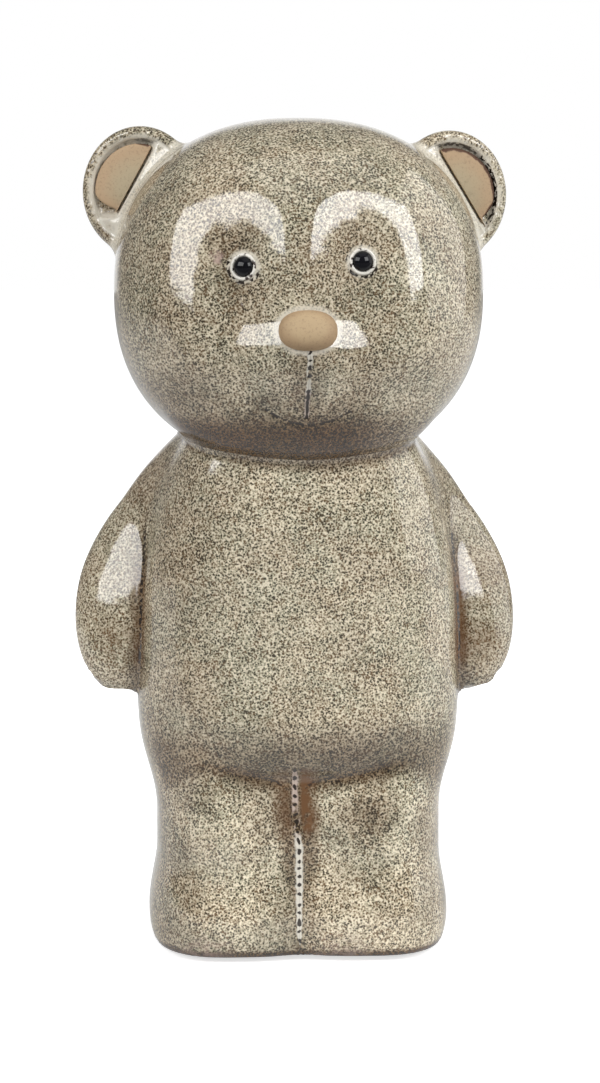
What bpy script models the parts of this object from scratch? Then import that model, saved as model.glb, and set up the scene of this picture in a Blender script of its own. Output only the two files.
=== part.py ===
"""A standing teddy bear in glazed stoneware: slip-cast shells luted together, with ears, nose and eyes.

Metres, +Z up. The bear faces -Y and stands on felt dots whose undersides are at z = 0. Left and right
are the bear's own, so its left side is at +X. The two sides match, apart from the eyes, which were set
by hand a little off centre.
"""

import math
from dataclasses import dataclass

import bmesh
import bpy
from mathutils import Matrix, Vector
from mathutils.bvhtree import BVHTree

# Fits and walls
FIT = 0.0003
WALL = 0.0048
LIMB_WALL = 0.0040

# Felt dots, glued under the soles
DOT_DIAMETER = 0.0120
DOT_THICKNESS = 0.0012
DOT_INSET = 0.0140

# Legs: blocks with round corners, side by side on flat soles
LEG_WIDTH = 0.0412
LEG_DEPTH = 0.0660
LEG_HEIGHT = 0.0665
LEG_OUTER_SQUARENESS = 2.5
LEG_INNER_SQUARENESS = 4.0
LEG_JOIN = 0.0020
LEG_TOP_SQUARENESS = 5.0
SOLE_SQUARENESS = 8.0
SOLE_TRIM = 0.0040
FOOT_FLARE = 0.0024
FOOT_FLARE_LEVEL = 0.0080
FOOT_FLARE_REACH = 0.0200
DRAIN_DIAMETER = 0.0080

# Torso: a pear, widest at the belly, whose underside sits down on the legs
BELLY_WIDTH = 0.0938
BELLY_FRONT_OVERHANG = 0.0060
BELLY_BACK_OVERHANG = 0.0040
BELLY_SEAT = 0.0160
BELLY_DROP = 0.0380
BELLY_FULLNESS = 3.1
SHOULDER_RISE = 0.0880
SHOULDER_STOOP = 0.0057
SHOULDER_FULLNESS = 2.3
TORSO_SQUARENESS = 2.5
CHEST_SWELL = 0.0018
CHEST_RISE = 0.0510
CHEST_REACH = 0.0370
LEG_PASSAGE = 0.0180
ARM_VENT = 0.0060

# Arms: lobes sunk in the torso's sides, which lean out and forwards from the shoulders to the hands
ARM_WIDTH = 0.0480
ARM_DEPTH = 0.0290
ARM_LENGTH = 0.0716
ARM_SINK = 0.0083
ARM_RISE = 0.0300
ARM_SETBACK = 0.0040
ARM_LEAN = 0.34
ARM_TILT = 0.22
ARM_BOW = 2.4
ARM_FULLNESS = 1.8

# Head: almost a ball, wider than it is tall, set a little forwards over the chest
HEAD_WIDTH = 0.1059
HEAD_HEIGHT = 0.0989
HEAD_FRONT = 0.0490
HEAD_BACK = 0.0470
HEAD_FULLNESS = 2.3
HEAD_SINK = 0.02695
HEAD_FORWARD = 0.0050
NECK_OPENING = 0.0360

# Face relief: a low muzzle, full cheeks, and a hollow round each eye that is steep under the brow
MUZZLE_SWELL = 0.0035
MUZZLE_SIDE = 0.0327
MUZZLE_ABOVE = 0.0120
MUZZLE_BELOW = 0.0230
MUZZLE_DROP = 0.0172
CHEEK_SWELL = 0.0026
CHEEK_SPACING = 0.0770
CHEEK_DROP = 0.0132
CHEEK_REACH = 0.0258
HOLLOW_DEPTH = 0.0046
HOLLOW_OUTER = 0.0209
HOLLOW_INNER = 0.0148
HOLLOW_ABOVE = 0.0264
HOLLOW_BELOW = 0.0420
HOLLOW_SPACING = 0.0326
HOLLOW_SHIFT = -0.0026
HOLLOW_LIFT = 0.0104
FACE_FADE = 0.0200

# Eyes: a bead in a ring of slip
EYE_SPACING = 0.0328
EYE_LIFT = 0.0080
EYE_SHIFT = -0.0010
EYE_TILT = 0.0014
BEAD_DIAMETER = 0.0036
BEAD_PROUD = 0.0004
RING_THICKNESS = 0.0011
RING_PROUD = 0.0003

# Nose: an oval button on top of the muzzle
NOSE_WIDTH = 0.0162
NOSE_HEIGHT = 0.0113
NOSE_DEPTH = 0.0100
NOSE_DROP = 0.0098
NOSE_SINK = 0.0005
NOSE_SQUARENESS = 2.3

# Mouth: a line carved down from the nose to a shallow smile
MOUTH_DROP = 0.0357
MOUTH_WIDTH = 0.0200
MOUTH_CURVE = 0.0034
MOUTH_GROOVE = 0.0016

# Ears: round cups that face forwards, each with a lining of bare clay in its recess
EAR_WIDTH = 0.0334
EAR_HEIGHT = 0.0372
EAR_FRONT = 0.0036
EAR_DOME = 0.0075
EAR_RIM = 0.0036
EAR_RECESS = 0.0032
EAR_SINK = 0.0078
EAR_LIFT = 0.0286
EAR_SETBACK = 0.0060
EAR_TURN = math.radians(8)
LINING_THICKNESS = 0.0016
LINING_CROWN = 0.0004

# Levels and places that follow from the sizes above, from the ground up
BELLY_FRONT = LEG_DEPTH / 2 + BELLY_FRONT_OVERHANG
BELLY_BACK = LEG_DEPTH / 2 + BELLY_BACK_OVERHANG
SOLE_LEVEL = DOT_THICKNESS + FIT
LEG_LEVEL = SOLE_LEVEL - SOLE_TRIM + LEG_HEIGHT / 2
BELLY_LEVEL = LEG_LEVEL + LEG_HEIGHT / 2 + BELLY_SEAT
HEAD_LEVEL = BELLY_LEVEL + SHOULDER_RISE - HEAD_SINK + HEAD_HEIGHT / 2
SIDES = {"left": 1, "right": -1}
UP = Vector((0, 0, 1))

GLAZE = ((0.38, 0.33, 0.25), 0.18)
BARE_CLAY = ((0.45, 0.31, 0.20), 0.75)
BLACK_GLAZE = ((0.010, 0.010, 0.012), 0.08)
WHITE_SLIP = ((0.72, 0.69, 0.62), 0.25)
FELT = ((0.09, 0.06, 0.04), 0.95)


@dataclass(frozen=True)
class Form:
    """A rounded form: how far it reaches each way, and how square its curves are, where 2 is an ellipse."""

    centre: Vector
    left: float
    right: float
    front: float
    back: float
    top: float
    bottom: float
    plan_left: float
    plan_right: float
    crown: float
    base: float
    lean: float = 0.0
    tilt: float = 0.0
    bow: float = 0.0

    def surface(self, way):
        """The surface point that lies this way from the centre, measured from the centre."""
        plan = self.plan_left if way.x > 0 else self.plan_right
        side = self.left if way.x > 0 else self.right
        rise = self.crown if way.z > 0 else self.base
        girth = (abs(way.x) ** plan + abs(way.y) ** plan) ** (rise / plan)
        reach = (girth + abs(way.z) ** rise) ** (-1 / rise)
        depth = self.front if way.y < 0 else self.back
        height = self.top if way.z > 0 else self.bottom
        point = Vector((way.x * side, way.y * depth, way.z * height)) * reach
        return point + Vector((self.lean * point.z, self.tilt * point.z - self.bow * point.z ** 2, 0))


HEAD = Form(
    centre=Vector((0, -HEAD_FORWARD, HEAD_LEVEL)),
    left=HEAD_WIDTH / 2,
    right=HEAD_WIDTH / 2,
    front=HEAD_FRONT,
    back=HEAD_BACK,
    top=HEAD_HEIGHT / 2,
    bottom=HEAD_HEIGHT / 2,
    plan_left=HEAD_FULLNESS,
    plan_right=HEAD_FULLNESS,
    crown=HEAD_FULLNESS,
    base=HEAD_FULLNESS,
)
TORSO = Form(
    centre=Vector((0, 0, BELLY_LEVEL)),
    left=BELLY_WIDTH / 2,
    right=BELLY_WIDTH / 2,
    front=BELLY_FRONT,
    back=BELLY_BACK,
    top=SHOULDER_RISE,
    bottom=BELLY_DROP,
    plan_left=TORSO_SQUARENESS,
    plan_right=TORSO_SQUARENESS,
    crown=SHOULDER_FULLNESS,
    base=BELLY_FULLNESS,
)


def leg_form(side):
    """A leg before it is trimmed: on its inner side it reaches past the plane where the two legs join."""
    outer = LEG_WIDTH / 2
    inner = LEG_WIDTH / 2 + LEG_JOIN
    return Form(
        centre=Vector((side * LEG_WIDTH / 2, 0, LEG_LEVEL)),
        left=outer if side > 0 else inner,
        right=inner if side > 0 else outer,
        front=LEG_DEPTH / 2,
        back=LEG_DEPTH / 2,
        top=LEG_HEIGHT / 2,
        bottom=LEG_HEIGHT / 2,
        plan_left=LEG_OUTER_SQUARENESS if side > 0 else LEG_INNER_SQUARENESS,
        plan_right=LEG_INNER_SQUARENESS if side > 0 else LEG_OUTER_SQUARENESS,
        crown=LEG_TOP_SQUARENESS,
        base=SOLE_SQUARENESS,
    )


def arm_form(side):
    return Form(
        centre=Vector((side * (BELLY_WIDTH / 2 - ARM_SINK), ARM_SETBACK, BELLY_LEVEL + ARM_RISE)),
        left=ARM_WIDTH / 2,
        right=ARM_WIDTH / 2,
        front=ARM_DEPTH / 2,
        back=ARM_DEPTH / 2,
        top=ARM_LENGTH / 2,
        bottom=ARM_LENGTH / 2,
        plan_left=2.0,
        plan_right=2.0,
        crown=ARM_FULLNESS,
        base=ARM_FULLNESS,
        lean=-side * ARM_LEAN,
        tilt=ARM_TILT,
        bow=ARM_BOW,
    )


def hill(distance):
    """1 in the middle of a round swelling and 0 from its edge on, with no step in its slope."""
    return (1 - min(abs(distance), 1.0) ** 2) ** 2


def muzzle_relief(x, z):
    reach = MUZZLE_ABOVE if z > -MUZZLE_DROP else MUZZLE_BELOW
    return -MUZZLE_SWELL * hill(math.hypot(x / MUZZLE_SIDE, (z + MUZZLE_DROP) / reach))


def cheek_relief(x, z):
    return -CHEEK_SWELL * hill(math.hypot(abs(x) - CHEEK_SPACING / 2, z + CHEEK_DROP) / CHEEK_REACH)


def hollow_relief(x, z, side):
    """How far the hollow round one eye takes the face back."""
    outwards = side * (x - HOLLOW_SHIFT) - HOLLOW_SPACING / 2
    upwards = z - HOLLOW_LIFT
    across = HOLLOW_OUTER if outwards > 0 else HOLLOW_INNER
    along = HOLLOW_ABOVE if upwards > 0 else HOLLOW_BELOW
    return HOLLOW_DEPTH * hill(math.hypot(outwards / across, upwards / along) ** 0.86)


def face_relief(point):
    """How far back the hollows take a point of the face, less how far the muzzle and cheeks bring it out."""
    if point.y > 0:
        return Vector((0, 0, 0))
    relief = muzzle_relief(point.x, point.z) + cheek_relief(point.x, point.z)
    for side in SIDES.values():
        relief += hollow_relief(point.x, point.z, side)
    return Vector((0, relief * (1 - hill(point.y / FACE_FADE)), 0))


def foot_relief(point):
    """The flare of a foot, strongest a little above its sole and all round it."""
    above = LEG_LEVEL + point.z - SOLE_LEVEL - FOOT_FLARE_LEVEL
    flare = FOOT_FLARE * hill(above / FOOT_FLARE_REACH)
    return Vector((flare * point.x / (LEG_WIDTH / 2), flare * point.y / (LEG_DEPTH / 2), 0))


def chest_relief(point):
    """The shoulders stoop forwards under the head, and the chest swells a little in front."""
    stoop = SHOULDER_STOOP * (max(point.z, 0) / SHOULDER_RISE) ** 2
    swell_out = CHEST_SWELL * hill((point.z - CHEST_RISE) / CHEST_REACH) if point.y < 0 else 0
    return Vector((0, -stoop - swell_out, 0))


def drawn_out(form, segments, rings, relief=None, poles_in_front=False):
    """A UV sphere drawn out to a form, with a relief added to its surface."""
    shape = bmesh.new()
    bmesh.ops.create_uvsphere(shape, u_segments=segments, v_segments=rings, radius=1.0)
    if poles_in_front:
        bmesh.ops.rotate(shape, verts=shape.verts, matrix=Matrix.Rotation(math.pi / 2, 3, "X"))
    for vert in shape.verts:
        vert.co = form.surface(vert.co)
        if relief:
            vert.co += relief(vert.co)
    bmesh.ops.recalc_face_normals(shape, faces=shape.faces)
    return shape


def swell(shape, distance):
    """Moves a whole surface out by a distance, or in where it is negative, so that walls and fits are even."""
    shape.normal_update()
    moves = [vert.normal * distance for vert in shape.verts]
    for vert, move in zip(shape.verts, moves):
        vert.co += move
    return shape


def trim(shape, place, outwards):
    """Cuts away what lies past a plane, and closes the cut with a flat face."""
    geometry = shape.verts[:] + shape.edges[:] + shape.faces[:]
    bmesh.ops.bisect_plane(shape, geom=geometry, plane_co=place, plane_no=outwards, clear_outer=True)
    bmesh.ops.holes_fill(shape, edges=[edge for edge in shape.edges if edge.is_boundary])
    return shape


def head_shape(segments=44, rings=32, distance=0.0):
    return swell(drawn_out(HEAD, segments, rings, face_relief, poles_in_front=True), distance)


def torso_shape(segments=40, rings=26, distance=0.0):
    return swell(drawn_out(TORSO, segments, rings, chest_relief), distance)


def leg_shape(side, segments=28, rings=22, inset=0.0):
    """A leg with its flat sole and its flat face to the other leg, or the hollow that lies an inset inside it."""
    form = leg_form(side)
    shape = swell(drawn_out(form, segments, rings, foot_relief), -inset)
    trim(shape, Vector((0, 0, SOLE_LEVEL + inset - LEG_LEVEL)), -UP)
    return trim(shape, Vector((side * (FIT / 2 + inset) - form.centre.x, 0, 0)), Vector((-side, 0, 0)))


def arm_shape(side, segments=28, rings=20, inset=0.0):
    return swell(drawn_out(arm_form(side), segments, rings), -inset)


def face_seat(across, level):
    """Where a straight line from in front meets the face, and which way the surface points there."""
    shape = head_shape()
    surface = BVHTree.FromBMesh(shape)
    shape.free()
    start = Vector((across, -2 * HEAD_FRONT, level - HEAD_LEVEL))
    place, outwards, _, _ = surface.ray_cast(start, Vector((0, 1, 0)))
    return HEAD.centre + place, outwards


def start_scene():
    for thing in list(bpy.data.objects):
        bpy.data.objects.remove(thing, do_unlink=True)
    for title in ("teddy_bear", "cutters"):
        bpy.context.scene.collection.children.link(bpy.data.collections.new(title))
    bear = bpy.data.objects.new("bear_origin", None)
    bpy.data.collections["teddy_bear"].objects.link(bear)
    return bear


def mesh_from(shape, name):
    mesh = bpy.data.meshes.new(name)
    shape.to_mesh(mesh)
    shape.free()
    return mesh


def finish(name, look):
    colour, roughness = look
    material = bpy.data.materials.new(name)
    material.use_nodes = True
    shader = material.node_tree.nodes["Principled BSDF"]
    shader.inputs["Base Color"].default_value = (*colour, 1)
    shader.inputs["Roughness"].default_value = roughness
    shader.inputs["Metallic"].default_value = 0.0
    material.diffuse_color = (*colour, 1)
    return material


def add_piece(name, mesh, place, look):
    """Puts a mesh in the bear's collection as its own named object, with its own material."""
    thing = bpy.data.objects.new(name, mesh)
    thing.location = place
    thing.parent = bpy.data.objects["bear_origin"]
    mesh.materials.append(finish(name + "_finish", look))
    mesh.shade_smooth()
    mesh.set_sharp_from_angle(angle=math.radians(50))
    bpy.data.collections["teddy_bear"].objects.link(thing)
    return thing


def add_cutter(name, mesh, place):
    thing = bpy.data.objects.new(name, mesh)
    thing.location = place
    thing.parent = bpy.data.objects["bear_origin"]
    thing.hide_render = True
    thing.display_type = "WIRE"
    bpy.data.collections["cutters"].objects.link(thing)
    return thing


def cut(thing, *tools):
    for tool in tools:
        modifier = thing.modifiers.new("cut by " + tool.name, "BOOLEAN")
        modifier.operation = "DIFFERENCE"
        modifier.solver = "EXACT"
        modifier.object = tool


def cylinder(name, diameter, length, sides=20):
    shape = bmesh.new()
    radius = diameter / 2
    bmesh.ops.create_cone(shape, cap_ends=True, segments=sides, radius1=radius, radius2=radius, depth=length)
    return mesh_from(shape, name)


def ball(name, diameter, segments=16, rings=10):
    shape = bmesh.new()
    bmesh.ops.create_uvsphere(shape, u_segments=segments, v_segments=rings, radius=diameter / 2)
    return mesh_from(shape, name)


def arc(centre, radii, start, end, count):
    """Points of an outline along an ellipse's arc, with angles in degrees from +X towards +Z."""
    angles = [math.radians(start + (end - start) * i / count) for i in range(count + 1)]
    return [(centre[0] + radii[0] * math.cos(a), centre[1] + radii[1] * math.sin(a)) for a in angles]


def turned(name, outline, place, look, steps=28, closed=False):
    """A piece turned about its own Z axis from an outline that runs down its outer side."""
    guide = bpy.data.meshes.new(name)
    links = [(i, i + 1) for i in range(len(outline) - 1)]
    if closed:
        links.append((len(outline) - 1, 0))
    guide.from_pydata([(radius, 0, level) for radius, level in outline], links, [])
    thing = add_piece(name, guide, place, look)
    screw = thing.modifiers.new("turn", "SCREW")
    screw.steps = steps
    screw.render_steps = steps
    screw.use_merge_vertices = True
    screw.merge_threshold = 0.00001
    return thing


def groove(name, points, width):
    """A round tube along a line of points, made a mesh so that it can cut."""
    path = bpy.data.curves.new(name, "CURVE")
    path.dimensions = "3D"
    path.bevel_depth = width / 2
    path.bevel_resolution = 1
    path.use_fill_caps = True
    line = path.splines.new("POLY")
    line.points.add(len(points) - 1)
    for spot, point in zip(line.points, points):
        spot.co = (*point, 1)
    guide = bpy.data.objects.new(name, path)
    bpy.data.collections["cutters"].objects.link(guide)
    evaluated = guide.evaluated_get(bpy.context.evaluated_depsgraph_get())
    shape = bmesh.new()
    shape.from_mesh(bpy.data.meshes.new_from_object(evaluated))
    bmesh.ops.remove_doubles(shape, verts=shape.verts, dist=0.00001)
    bmesh.ops.recalc_face_normals(shape, faces=shape.faces)
    bpy.data.objects.remove(guide, do_unlink=True)
    return add_cutter(name, mesh_from(shape, name), (0, 0, 0))


def add_torso(head_seat):
    """The torso's shell: the head sits in its open top, and it opens into both legs and both arms."""
    torso = add_piece("torso_shell", mesh_from(torso_shape(), "torso_shell"), TORSO.centre, GLAZE)
    hollow = mesh_from(torso_shape(24, 16, -WALL), "torso_hollow")
    cut(torso, add_cutter("torso_hollow", hollow, TORSO.centre), head_seat)
    between_arms = (0, ARM_SETBACK, BELLY_LEVEL + ARM_RISE)
    vents = add_cutter("arm_vents", cylinder("arm_vents", ARM_VENT, BELLY_WIDTH), between_arms)
    vents.rotation_euler.y = math.pi / 2
    cut(torso, vents)
    for side_name, side in SIDES.items():
        name = side_name + "_leg_passage"
        under = TORSO.centre + Vector((side * LEG_WIDTH / 2, 0, -BELLY_DROP))
        cut(torso, add_cutter(name, cylinder(name, LEG_PASSAGE, 4 * WALL), under))


def add_leg(side_name, side, torso_seat):
    """A leg shell, open at the top under the torso, with a drain hole in its sole and two felt dots."""
    name = side_name + "_leg_shell"
    centre = leg_form(side).centre
    leg = add_piece(name, mesh_from(leg_shape(side), name), centre, GLAZE)
    hollow_name = side_name + "_leg_hollow"
    hollow = mesh_from(leg_shape(side, 18, 14, LIMB_WALL), hollow_name)
    drain_name = side_name + "_drain"
    drain = cylinder(drain_name, DRAIN_DIAMETER, 4 * LIMB_WALL)
    sole = Vector((centre.x, 0, SOLE_LEVEL))
    cut(leg, add_cutter(hollow_name, hollow, centre), add_cutter(drain_name, drain, sole), torso_seat)
    for end_name, end in (("front", -1), ("back", 1)):
        dot_name = f"{side_name}_{end_name}_felt_dot"
        dot = cylinder(dot_name, DOT_DIAMETER, DOT_THICKNESS)
        add_piece(dot_name, dot, (centre.x, end * (LEG_DEPTH / 2 - DOT_INSET), DOT_THICKNESS / 2), FELT)


def add_arm(side_name, side, torso_seat):
    """An arm shell that lies against the torso, drained through the open side that the torso covers."""
    name = side_name + "_arm_shell"
    centre = arm_form(side).centre
    arm = add_piece(name, mesh_from(arm_shape(side), name), centre, GLAZE)
    hollow_name = side_name + "_arm_hollow"
    hollow = mesh_from(arm_shape(side, 16, 12, LIMB_WALL), hollow_name)
    cut(arm, add_cutter(hollow_name, hollow, centre), torso_seat)


def add_ear(side_name, side, head_seat):
    """An ear cup turned about the way it faces, with a clay lining in its recess, both fitted to the head."""
    radius = EAR_WIDTH / 2
    floor = EAR_FRONT - EAR_RECESS
    inside = radius - EAR_RIM
    rim = radius - EAR_RIM / 2
    cup = [(0, floor), *arc((rim, floor), (EAR_RIM / 2, EAR_RECESS), 180, 90, 3)]
    cup += arc((rim, 0), (EAR_RIM / 2, EAR_FRONT), 90, 0, 3)[1:]
    cup += arc((0, 0), (radius, EAR_DOME), 0, -90, 6)[1:]
    bed = floor + FIT
    face = bed + LINING_THICKNESS
    lining = arc((0, face), (inside - FIT, LINING_CROWN), 90, 0, 3)
    lining += [(inside - FIT, bed), (0, bed)]
    place = HEAD.centre + Vector((side * (HEAD_WIDTH / 2 - EAR_SINK), EAR_SETBACK, EAR_LIFT))
    for name, outline, look in (("ear_cup", cup, GLAZE), ("ear_lining", lining, BARE_CLAY)):
        thing = turned(f"{side_name}_{name}", outline, place, look)
        thing.rotation_euler = (math.pi / 2, 0, side * EAR_TURN)
        thing.scale.y = EAR_HEIGHT / EAR_WIDTH
        cut(thing, head_seat)


def add_eye(side_name, side, head, head_seat):
    """A bead half sunk in a socket in the head, and the ring of slip round it."""
    across = EYE_SHIFT + side * EYE_SPACING / 2
    seat, outwards = face_seat(across, HEAD_LEVEL + EYE_LIFT + side * EYE_TILT / 2)
    facing = outwards.to_track_quat("Z", "Y").to_euler()
    bead_place = seat + outwards * BEAD_PROUD
    bead_name = side_name + "_eye_bead"
    bead = add_piece(bead_name, ball(bead_name, BEAD_DIAMETER), bead_place, BLACK_GLAZE)
    bead.rotation_euler = facing
    socket_name = side_name + "_eye_socket"
    socket = add_cutter(socket_name, ball(socket_name, BEAD_DIAMETER + 2 * FIT), bead_place)
    socket.rotation_euler = facing
    cut(head, socket)
    thickness = RING_THICKNESS / 2
    section = arc((BEAD_DIAMETER / 2 + FIT + thickness, 0), (thickness, thickness), 90, -270, 8)[:-1]
    place = seat + outwards * RING_PROUD
    ring = turned(side_name + "_eye_ring", section, place, WHITE_SLIP, steps=20, closed=True)
    ring.rotation_euler = facing
    cut(ring, head_seat)


def add_nose(head_seat):
    """The nose button, whose back is fitted to the muzzle."""
    seat, outwards = face_seat(0, HEAD_LEVEL - NOSE_DROP)
    form = Form(
        centre=seat - outwards * NOSE_SINK,
        left=NOSE_WIDTH / 2,
        right=NOSE_WIDTH / 2,
        front=NOSE_DEPTH / 2,
        back=NOSE_DEPTH / 2,
        top=NOSE_HEIGHT / 2,
        bottom=NOSE_HEIGHT / 2,
        plan_left=NOSE_SQUARENESS,
        plan_right=NOSE_SQUARENESS,
        crown=NOSE_SQUARENESS,
        base=NOSE_SQUARENESS,
    )
    mesh = mesh_from(drawn_out(form, 24, 14, poles_in_front=True), "nose_button")
    nose = add_piece("nose_button", mesh, form.centre, BARE_CLAY)
    nose.rotation_euler = (-outwards).to_track_quat("Y", "Z").to_euler()
    cut(nose, head_seat)
    return nose


def add_mouth(head):
    """Carves the line under the nose and the smile that it runs down to."""
    smile_level = HEAD_LEVEL - MOUTH_DROP
    line_top = HEAD_LEVEL - NOSE_DROP - NOSE_HEIGHT / 2 - MOUTH_GROOVE
    drops = [line_top + (smile_level - line_top) * i / 7 for i in range(8)]
    cut(head, groove("mouth_line", [face_seat(0, level)[0] for level in drops], MOUTH_GROOVE))
    smile = []
    for i in range(11):
        share = i / 5 - 1
        level = smile_level + MOUTH_CURVE * share ** 2
        smile.append(face_seat(share * MOUTH_WIDTH / 2, level)[0])
    cut(head, groove("smile", smile, MOUTH_GROOVE))


def add_head(head_seat):
    """The head's shell, open at the neck, with its eyes, nose, mouth and ears."""
    head = add_piece("head_shell", mesh_from(head_shape(), "head_shell"), HEAD.centre, GLAZE)
    hollow = mesh_from(head_shape(24, 16, -WALL), "head_hollow")
    under = HEAD.centre - UP * HEAD_HEIGHT / 2
    neck = cylinder("neck_opening", NECK_OPENING, 6 * WALL, 28)
    cut(head, add_cutter("head_hollow", hollow, HEAD.centre), add_cutter("neck_opening", neck, under))
    for side_name, side in SIDES.items():
        add_ear(side_name, side, head_seat)
        add_eye(side_name, side, head, head_seat)
    add_mouth(head)
    return add_nose(head_seat)


def centre_over_origin(bear, nose):
    """Moves the bear so that the middle between its nose and the back of its head is over the origin."""
    bpy.context.view_layer.update()
    front = min((nose.matrix_world @ vert.co).y for vert in nose.data.vertices)
    bear.location.y = -(front + HEAD.centre.y + HEAD_BACK) / 2


def main():
    bear = start_scene()
    head_seat = add_cutter("head_seat", mesh_from(head_shape(distance=FIT), "head_seat"), HEAD.centre)
    torso_seat = add_cutter("torso_seat", mesh_from(torso_shape(distance=FIT), "torso_seat"), TORSO.centre)
    add_torso(head_seat)
    for side_name, side in SIDES.items():
        add_leg(side_name, side, torso_seat)
        add_arm(side_name, side, torso_seat)
    centre_over_origin(bear, add_head(head_seat))


main()
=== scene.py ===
"""The looks of a standing teddy bear sculpture in speckled, glossy stoneware glaze.

Metres, +Z up, and the bear faces -Y. Left and right are the bear's own, so its left side is at +X.
"""

import logging
import math
from collections.abc import Callable, Sequence
from dataclasses import dataclass, field
from enum import Enum
from itertools import product

import bmesh
import bpy
import numpy as np
from mathutils import Matrix, Vector


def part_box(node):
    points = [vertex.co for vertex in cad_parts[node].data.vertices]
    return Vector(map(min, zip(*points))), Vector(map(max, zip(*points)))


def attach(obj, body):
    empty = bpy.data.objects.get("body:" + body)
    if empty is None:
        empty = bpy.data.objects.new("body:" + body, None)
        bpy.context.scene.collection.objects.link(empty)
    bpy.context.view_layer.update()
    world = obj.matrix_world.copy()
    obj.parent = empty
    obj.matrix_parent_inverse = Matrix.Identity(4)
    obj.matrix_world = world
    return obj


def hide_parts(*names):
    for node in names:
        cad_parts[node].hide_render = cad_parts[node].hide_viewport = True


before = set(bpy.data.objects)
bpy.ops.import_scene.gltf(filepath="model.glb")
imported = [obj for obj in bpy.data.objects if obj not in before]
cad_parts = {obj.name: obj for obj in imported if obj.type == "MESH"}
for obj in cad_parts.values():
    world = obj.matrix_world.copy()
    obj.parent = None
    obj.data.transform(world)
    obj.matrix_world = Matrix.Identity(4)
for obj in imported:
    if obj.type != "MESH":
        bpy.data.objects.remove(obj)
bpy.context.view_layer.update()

LOG = logging.getLogger("teddy_bear")

Distance = Callable[[np.ndarray], np.ndarray]
Colour = tuple[float, float, float]
Socket = bpy.types.NodeSocket
Shape = bmesh.types.BMesh

# A stored offset runs from 0 to 1 over this width, and its line lies in the middle.
OFFSET_SPAN = 0.008
MERGE_DISTANCE = 0.000005


class Side(Enum):
    """The bear's own sides, and the way that each lies along X."""

    LEFT = 1
    RIGHT = -1

    @property
    def word(self) -> str:
        """The side's name as the nodes write it."""
        return self.name.lower()


class Slot(Enum):
    """The material slots, by name."""

    GLAZE = "glaze"
    BARE_CLAY = "bare_clay"
    BLACK_GLAZE = "black_glaze"
    WHITE_SLIP = "white_slip"
    FELT = "felt"


# Distances and forms


def hill(distance: np.ndarray) -> np.ndarray:
    """1 in the middle of a round swelling and 0 from its edge on, with no step in its slope."""
    return (1 - np.minimum(np.abs(distance), 1.0) ** 2) ** 2


def ramp(values: np.ndarray, low: float, high: float) -> np.ndarray:
    """Rises smoothly from 0 at low to 1 at high, or falls where low is above high."""
    share = np.clip((values - low) / (high - low), 0, 1)
    return share * share * (3 - 2 * share)


def lute(first: np.ndarray, second: np.ndarray, reach: np.ndarray | float) -> np.ndarray:
    """Joins two forms by their distances, with a soft fillet where they meet.

    Args:
        first: Distance to one form at each point.
        second: Distance to the other form at each point.
        reach: How wide the fillet is, as one width or one for each point.

    Returns:
        Distance to the joined form.
    """
    share = np.clip(0.5 + 0.5 * (second - first) / reach, 0, 1)
    return second * (1 - share) + first * share - reach * share * (1 - share)


def path_distance(across: np.ndarray, up: np.ndarray, path: Sequence[tuple[float, float]]) -> np.ndarray:
    """How far each point lies from a line of points drawn on a plane.

    Args:
        across: Each point's place along the plane's first axis.
        up: Each point's place along its second axis.
        path: The corners of the line, in order.

    Returns:
        One distance for each point, never negative.
    """
    nearest = np.full(len(across), 1e9)
    for (x0, z0), (x1, z1) in zip(path, path[1:]):
        dx, dz = x1 - x0, z1 - z0
        share = np.clip(((across - x0) * dx + (up - z0) * dz) / (dx * dx + dz * dz), 0, 1)
        nearest = np.minimum(nearest, np.hypot(across - x0 - share * dx, up - z0 - share * dz))
    return nearest


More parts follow.
